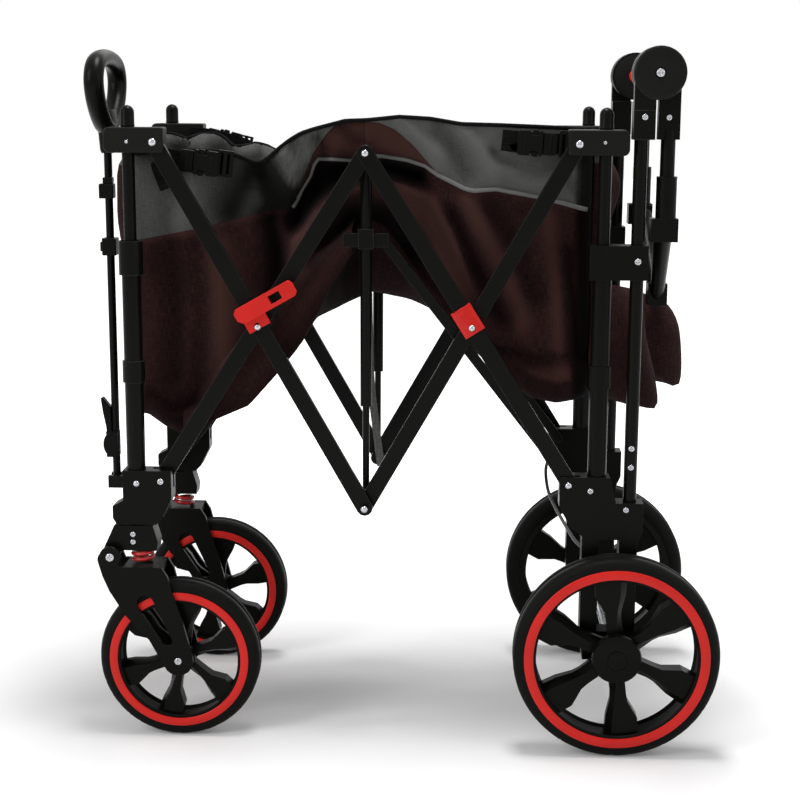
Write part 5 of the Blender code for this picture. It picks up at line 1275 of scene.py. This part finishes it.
# Shares of the buckle's length and of half its height, and how deep each plate lies
SOCKET = [(-0.50, 0.80), (-0.46, 0.96), (-0.20, 0.98), (-0.17, 0.62), (0.02, 0.62), (0.05, 0.98),
          (0.12, 0.98), (0.14, 0.80)]
CATCH = [(-0.15, 0.66), (0.0, 0.66), (0.03, 0.90), (0.0, 1.04), (-0.12, 1.02)]
PLUG = [(0.16, 0.86), (0.44, 0.86), (0.50, 0.72)]
SOCKET_RIDGE = [(-0.34, 0.55), (-0.30, 0.55)]
PLUG_BAR = [(0.32, 0.70), (0.37, 0.70)]


def buckle(bm, at, way, side):
    """Side-release buckle: the socket, the two side catches in its windows, and the plug's bar."""
    plate = plates(bm, at, way, side)

    def sized(shares, up=1):
        return [(BUCKLE_LONG * a, up * BUCKLE_HIGH / 2 * b) for a, b in shares]
    plate(both_halves(sized(SOCKET)), 0, 0.0078)
    plate(sized(CATCH, -1)[::-1], 0.0012, 0.0064)
    plate(sized(CATCH), 0.0012, 0.0064)
    plate(both_halves(sized(PLUG)), 0.0008, 0.0062)
    plate(both_halves(sized(SOCKET_RIDGE)), 0.0076, 0.0088)
    plate(both_halves(sized(PLUG_BAR)), 0.0060, 0.0072)


def ladder_lock(bm, at, way, side):
    """Three bars across the webbing between two side rails."""
    plate = plates(bm, at, way, side)
    for start, end, deep in ((-0.50, -0.30, 0.0050), (-0.12, 0.12, 0.0062), (0.30, 0.50, 0.0050)):
        plate(rectangle(LOCK_LONG * start, LOCK_LONG * end, -LOCK_HIGH / 2, LOCK_HIGH / 2), 0.0006, deep)
    for low, high in ((-0.50, -0.42), (0.42, 0.50)):
        plate(rectangle(-LOCK_LONG / 2, LOCK_LONG / 2, LOCK_HIGH * low, LOCK_HIGH * high), 0.0004, 0.0044)


print("buckle:", len(SOCKET) + len(CATCH) + len(PLUG), "outline points")

# %% The four straps
# A strap: label, body, side, buckle centre, ladder lock centre, and webbing path (x, z)
STRAPS = [
    ("rear_near", "rear_top", -1, (0.199, 0.7245), (0.2335, 0.7235),
     [(0.158, 0.7280), (0.175, 0.7260), (0.200, 0.7245), (0.236, 0.7235), (0.250, 0.7230)]),
    ("front_near", "front_top", -1, (-0.197, 0.7000), (-0.1665, 0.6985),
     [(-0.158, 0.6975), (-0.175, 0.6990), (-0.205, 0.7005), (-0.228, 0.7020), (-0.250, 0.7080)]),
    ("rear_far", "rear_top", 1, (0.199, 0.7210), (0.2335, 0.7200),
     [(0.158, 0.7230), (0.175, 0.7220), (0.200, 0.7210), (0.236, 0.7200), (0.250, 0.7200)]),
    ("front_far", "front_top", 1, (-0.206, 0.7185), (-0.1775, 0.7105),
     [(-0.166, 0.7045), (-0.180, 0.7110), (-0.206, 0.7185), (-0.230, 0.7230), (-0.250, 0.7240)])]
STRAP_Y, STRAP_WIDTH = 0.1168, 0.0245
for label, body, side, buckle_at, lock_at, path in STRAPS:
    def at(x, z, lift=0.0):
        """A place on the strap's face, lifted off the wall."""
        return (x, side * (STRAP_Y + lift), z)
    first, last = path[0], path[-1]
    way = Vector((last[0] - first[0], 0, last[1] - first[1])).normalized()
    halfway = ((first[0] + buckle_at[0]) / 2, (first[1] + buckle_at[1]) / 2)
    bm = bmesh.new()
    bm.loops.layers.uv.new(CLOTH_UV)
    ribbon(bm, [at(*point) for point in path], STRAP_WIDTH, 0.0016, (0, side, 0), 1)
    ribbon(bm, [at(*first, 0.0014), at(*halfway, 0.0020), at(buckle_at[0] - way.x * 0.020, buckle_at[1], 0.0026)],
           STRAP_WIDTH, 0.0014, (0, side, 0), 1, 8)
    buckle(bm, at(*buckle_at, 0.0012), way, side)
    ladder_lock(bm, at(*lock_at, 0.0012), way, side)
    finished(f"strap_{label}", bm, body, "black_plastic", [FINISH["black_plastic"], CLOTH["webbing"]],
             bevel=0.0006, sharp=50)
print("straps:", len(STRAPS))

# %% Webbing that hangs from the corners and under the floor
bm = bmesh.new()
bm.loops.layers.uv.new(CLOTH_UV)
for label, side in SIDES:
    ribbon(bm, [(-0.2440, side * 0.1160, 0.7020), (-0.2400, side * 0.1165, 0.6880), (-0.2330, side * 0.1168, 0.6700)],
           0.0250, 0.0030, (0, side, 0), 0, 10)
finished("corner_webbing_front", bm, "front_top", "fabric", [CLOTH["webbing"]], bevel=0.0006, sharp=50)

strap_points = smooth_path([(-0.0065, 0.020, 0.530), (-0.0055, 0.020, 0.480), (-0.0030, 0.020, 0.413),
                            (0.0040, 0.020, 0.352), (0.0100, 0.020, 0.304)], 30)
bm = bmesh.new()
bm.loops.layers.uv.new(CLOTH_UV)
ribbon(bm, strap_points, 0.0100, 0.0014, (0.25, -1, 0), 0, 30)
grey_strap = finished("floor_strap", bm, "centre_lower", "fabric", [CLOTH["hem"]], bevel=0.0003, sharp=50)

# %% [markdown]
# ## Brake cable
# One thin cable joins the two rear castings under the tub. Both of its ends go into the object,
# so its length is the length of its route. The points are those of the CAD model.

# %% Cable
CABLE_FROM, CABLE_TO = (0.240, 0.1270, 0.303), (0.2665, -0.1270, 0.236)
CABLE_KNOTS = [(0.240, 0.119, 0.303), (0.2285, 0.090, 0.290), (0.2302, 0.060, 0.265), (0.239, 0.015, 0.251),
               (0.248, -0.040, 0.244), (0.257, -0.090, 0.2385), (0.2665, -0.118, 0.236)]
cable_points = [Vector(CABLE_FROM)] + smooth_path(CABLE_KNOTS, 40) + [Vector(CABLE_TO)]
bm = bmesh.new()
swept(bm, cable_points, round_section(0.0022, 12))
cable = finished("brake_cable_jacket", bm, "rear_base", "cable_jacket", sharp=60)
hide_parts("brake_cable")

# %% [markdown]
# ## Pull handle
# The pull handle is a thin steel pole with moulded stops, a locking lever, and a fat two-shell
# loop. The CAD loop is a squared frame for grasping; here a rounder section is swept round a drop-
# shaped path, and it runs into a tapered neck.

# %% Pole and fittings
PULL_X = -0.333
bm = bmesh.new()
turned(bm, [(0, 0), (0.0050, 0), (0.0050, 0.424), (0, 0.424)], (PULL_X, 0, 0.289), (0, 0, 1), 24)
turned(bm, [(0, -0.0055), (0.0066, -0.0055), (0.0075, -0.0046), (0.0075, 0.0046), (0.0066, 0.0055), (0, 0.0055)],
       (PULL_X, 0, 0.285), (0, 1, 0), 32)
pole = finished("pull_pole", bm, "pull_handle", "black_steel", sharp=40)
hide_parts("pull_handle")

# Each block: how far it reaches before and behind the pole, half its width, and its heights
BLOCKS = [(-0.0115, 0.0040, 0.0080, 0.3163, 0.3509), (-0.0090, 0.0090, 0.0100, 0.5780, 0.6000),
          (-0.0120, -0.0085, 0.0065, 0.5830, 0.5950), (-0.0115, 0.0070, 0.0080, 0.6495, 0.6680),
          (-0.0065, 0.0055, 0.0070, 0.6680, 0.6760)]
LEVER = [(-0.0178, 0.3940), (-0.0150, 0.3945), (-0.0045, 0.3810), (-0.0040, 0.3520), (-0.0030, 0.3440),
         (-0.0105, 0.3440), (-0.0115, 0.3560), (-0.0150, 0.3740)]
CAM = [(0.0122 * cos(a) - 0.0030, 0.3335 + 0.0165 * sin(a)) for a in np.linspace(pi / 2, 3 * pi / 2, 12)]
bm = bmesh.new()
for behind, before, half, low, high in BLOCKS:
    slab(bm, rectangle(PULL_X + behind, PULL_X + before, low, high), (0, 0, 0), TO_THE_FAR_SIDE, -half, half)
slab(bm, LEVER, (PULL_X, 0, 0), TO_THE_NEAR_SIDE, -0.0062, 0.0062)
slab(bm, CAM + [(0.0040, 0.3175), (0.0040, 0.3495)], (PULL_X, 0, 0), TO_THE_NEAR_SIDE, -0.0095, 0.0095)
finished("pull_fittings", bm, "pull_handle", "black_plastic", bevel=0.0014, segments=3)
print("pull handle fittings:", len(BLOCKS) + 2, "blocks")

# %% Loop and its neck
HALF_LOOP = [(0.0, 0.7370), (0.0210, 0.7430), (0.0430, 0.7580), (0.0600, 0.7780), (0.0640, 0.7990), (0.0470, 0.8165)]
LOOP = HALF_LOOP + [(0.0, 0.8225)] + [(-y, z) for y, z in HALF_LOOP[::-1]]
OVAL = [(0.0106 * cos(a), 0.0122 * sin(a)) for a in np.linspace(0, 2 * pi, 24, endpoint=False)]
NECK = [(0.7060, 0.0075, 0.0080), (0.7100, 0.0090, 0.0100), (0.7250, 0.0100, 0.0120), (0.7400, 0.0108, 0.0165),
        (0.7520, 0.0108, 0.0240), (0.7600, 0.0098, 0.0250)]    # height, half depth, half width
NECK_STEPS = 28


def squarish(half, share):
    """A rounded square's reach, from the reach of a circle."""
    return half * np.sign(share) * abs(share) ** 0.7


bm = bmesh.new()
swept(bm, smooth_path([(PULL_X, y, z) for y, z in LOOP], 73)[:-1], OVAL, closed=True, side=(-1, 0, 0))
rings = [[bm.verts.new((PULL_X + squarish(half_x, cos(a)), squarish(half_y, sin(a)), z))
          for a in np.linspace(0, 2 * pi, NECK_STEPS, endpoint=False)] for z, half_x, half_y in NECK]
for a, b in zip(rings, rings[1:]):
    for i in range(NECK_STEPS):
        k = (i + 1) % NECK_STEPS
        bm.faces.new((a[i], a[k], b[k], b[i]))
bm.faces.new(rings[0])
bm.faces.new(rings[-1])
finished("pull_loop", bm, "pull_handle", "black_plastic", sharp=60)
print("pull handle: 3 pieces")

# %% [markdown]
# ## Caster springs, clip and post caps
# Small bright parts: a stout red coil over each front wheel, a red clip that the bar lies in, and
# the moulded caps on the posts.

# %% Springs
COIL_X, COIL_Y, COIL_R, COIL_TURNS = -0.2716, 0.141, 0.0120, 1.9
COIL_LOW, COIL_RISE, HEAD_Z, COIL_STEPS = 0.2190, 0.0130, 0.2346, 64
for label, side in SIDES:
    points = []
    for t in np.arange(COIL_STEPS) / (COIL_STEPS - 1):
        a = 2 * pi * COIL_TURNS * t - side * 0.8
        points.append((COIL_X + COIL_R * cos(a), side * (COIL_Y - COIL_R * sin(a)), COIL_LOW + COIL_RISE * t))
    bm = bmesh.new()
    swept(bm, points, round_section(0.0026, 12))
    spring = finished(f"caster_coil_{label}", bm, f"caster_{label}", "red_steel", sharp=60)
    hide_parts(f"caster_spring_{label}")
    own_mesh(spring)
print("coils:", len(SIDES))

# %% Clip on the rear crossing
bar_way = Vector((0.246, 0, 0.322 - 0.7126)).normalized()
clip_ways = (bar_way, TO_FAR.cross(bar_way) * -1, TO_FAR)
CLIP_AT, CLIP_HALF = Vector((0.12095, 0, 0.51935)), 0.0172
bm = bmesh.new()
for across, depths in (((-0.0128, 0.0128), (-0.1546, -0.1513)), ((-0.0128, -0.0102), (-0.1546, -0.1446)),
                       ((0.0102, 0.0128), (-0.1546, -0.1446))):
    slab(bm, rectangle(-CLIP_HALF, CLIP_HALF, *across), CLIP_AT, clip_ways, *depths)
slab(bm, rectangle(-0.0025, 0.0025, -0.0060, 0.0000), CLIP_AT - bar_way * 0.0100, clip_ways, -0.1558, -0.1540)
finished("crossing_clip", bm, "rear_short_bars", "red_plastic", bevel=0.0008, segments=3)
heads("clip_rivet", "rear_short_bars", [(0.1258, -0.1546, 0.5112, -1, 0.0040, "rivet")])
heads("crossing_rivet_rear", "rear_short_bars", [(0.1258, 0.1510, 0.5125, 1, 0.0040, "rivet")])
heads("crossing_rivet_front", "front_long_bars", [(-0.1258, 0.1510, 0.5125, 1, 0.0040, "rivet")])
heads("latch_rivet", "latch", [(-0.1257, face_of("frame_latch", -1) + 0.0072, 0.5103, -1, 0.0040, "rivet")])
print("clip and four rivets")

# %% Post caps and the swinging legs' screws
CAP_R = 0.0082
CAP = [(0, 0), (CAP_R, 0), (0.0086, 0.0010), (0.0086, 0.0016), (CAP_R, 0.0024), (CAP_R, 0.0165)]
CAP += [(CAP_R * cos(a), 0.0165 + CAP_R * sin(a)) for a in np.linspace(0.25, 1.45, 6)] + [(0, 0.0248)]
PIVOT_CAP = [(0, -0.0020), (0.0132, -0.0020), (0.0132, 0.0006), (0.0124, 0.0018), (0.0102, 0.0018),
             (0.0098, 0.0010), (0.0078, 0.0010), (0.0074, 0.0016), (0, 0.0016)]
for label, side in SIDES:
    for end, x in (("front", -0.277), ("rear", 0.277)):
        bm = bmesh.new()
        turned(bm, CAP, (x, side * 0.141, 0.7413), (0, 0, 1), 32)
        finished(f"post_cap_{end}_{label}", bm, f"{end}_top", "black_plastic", sharp=50)
    heads(f"arm_leg_screw_{label}", "push_handle", [(0.3478, side * 0.1412, 0.7552, side, 0.0036, "screw")])
    heads(f"arm_pivot_screw_{label}", f"caster_{label}", [(-0.3068, side * 0.1672, 0.2292, side, 0.0052, "screw")])
    bm = bmesh.new()
    turned(bm, PIVOT_CAP, (-0.3068, side * 0.1653, 0.2292), (0, side, 0), 48)
    finished(f"arm_pivot_cap_{label}", bm, f"fork_{label}", "black_plastic", sharp=30)

# %% [markdown]
# ## Handle knobs and top brackets
# The knobs turn when the handle unfolds, and are plain discs with a softly rounded edge. The top
# brackets are chunky rounded blocks. The CAD discs and brackets show their facets from close by,
# so a turned cap covers each disc, and a block with real radii stands for each bracket.

# %% Knob caps
KNOB_AT, KNOB_R = (0.335, 0.805), 0.0303
for label, side in SIDES:
    for name, body, low, high in (("outer", "rear_base", 0.1414, 0.1556), ("inner", "push_handle", 0.1232, 0.1413)):
        depth = high - low
        outer = name == "outer"
        edge, back = (0.0034, 0.0010) if outer else (0.0016, 0.0034)
        hole = (KNOB_R * 0.30, 0)
        profile = [(0, 0) if outer else hole]
        profile += [(KNOB_R - back, 0), (KNOB_R - back * 0.3, back * 0.3), (KNOB_R, back),
                    (KNOB_R, depth - edge), (KNOB_R - edge * 0.12, depth - edge * 0.5),
                    (KNOB_R - edge * 0.45, depth - edge * 0.14), (KNOB_R - edge, depth)]
        if outer:
            profile += [(KNOB_R * 0.78, depth + 0.0002), (KNOB_R * 0.24, depth - 0.0003),
                        (KNOB_R * 0.20, depth - 0.0010), (0, depth - 0.0010)]
        else:
            profile += [(KNOB_R * 0.30, depth), hole]
        bm = bmesh.new()
        turned(bm, profile, (KNOB_AT[0], side * low, KNOB_AT[1]), (0, side, 0), 72)
        finished(f"knob_cap_{name}_{label}", bm, body, "black_plastic", [FINISH["matt_plastic_painted_lighter"]], sharp=35)
print("knob caps: 4")

# %% Bracket blocks
OUTER_R, INNER_R = 0.0070, 0.0022
for label, side in SIDES:
    for end, word in ((-1, "front"), (1, "rear")):
        low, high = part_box(f"{word}_top_bracket_{label}")
        x0, x1 = sorted((end * (low[0] - FOLD_X), end * (high[0] - FOLD_X)))
        z0, z1 = low[2], high[2]
        rounds = [(x1 - OUTER_R, z1 - OUTER_R, OUTER_R), (x0 + INNER_R, z1 - INNER_R, INNER_R),
                  (x0 + INNER_R, z0 + INNER_R, INNER_R), (x1 - OUTER_R, z0 + OUTER_R, OUTER_R)]
        outline = []
        for quarter, (x, z, r) in enumerate(rounds):
            turn = quarter * pi / 2
            outline += [(end * (x + r * cos(turn + t)), z + r * sin(turn + t)) for t in np.linspace(0, pi / 2, 6)]
        bm = bmesh.new()
        slab(bm, outline[::end], (0, 0, 0), TO_THE_NEAR_SIDE, -high[1], -low[1])
        block = finished(f"{word}_corner_block_{label}", bm, f"{word}_top", "black_plastic",
                         [FINISH["matt_plastic_painted_lighter"]], bevel=0.0026, segments=4)
        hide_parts(f"{word}_top_bracket_{label}")
print("corner blocks: 4")
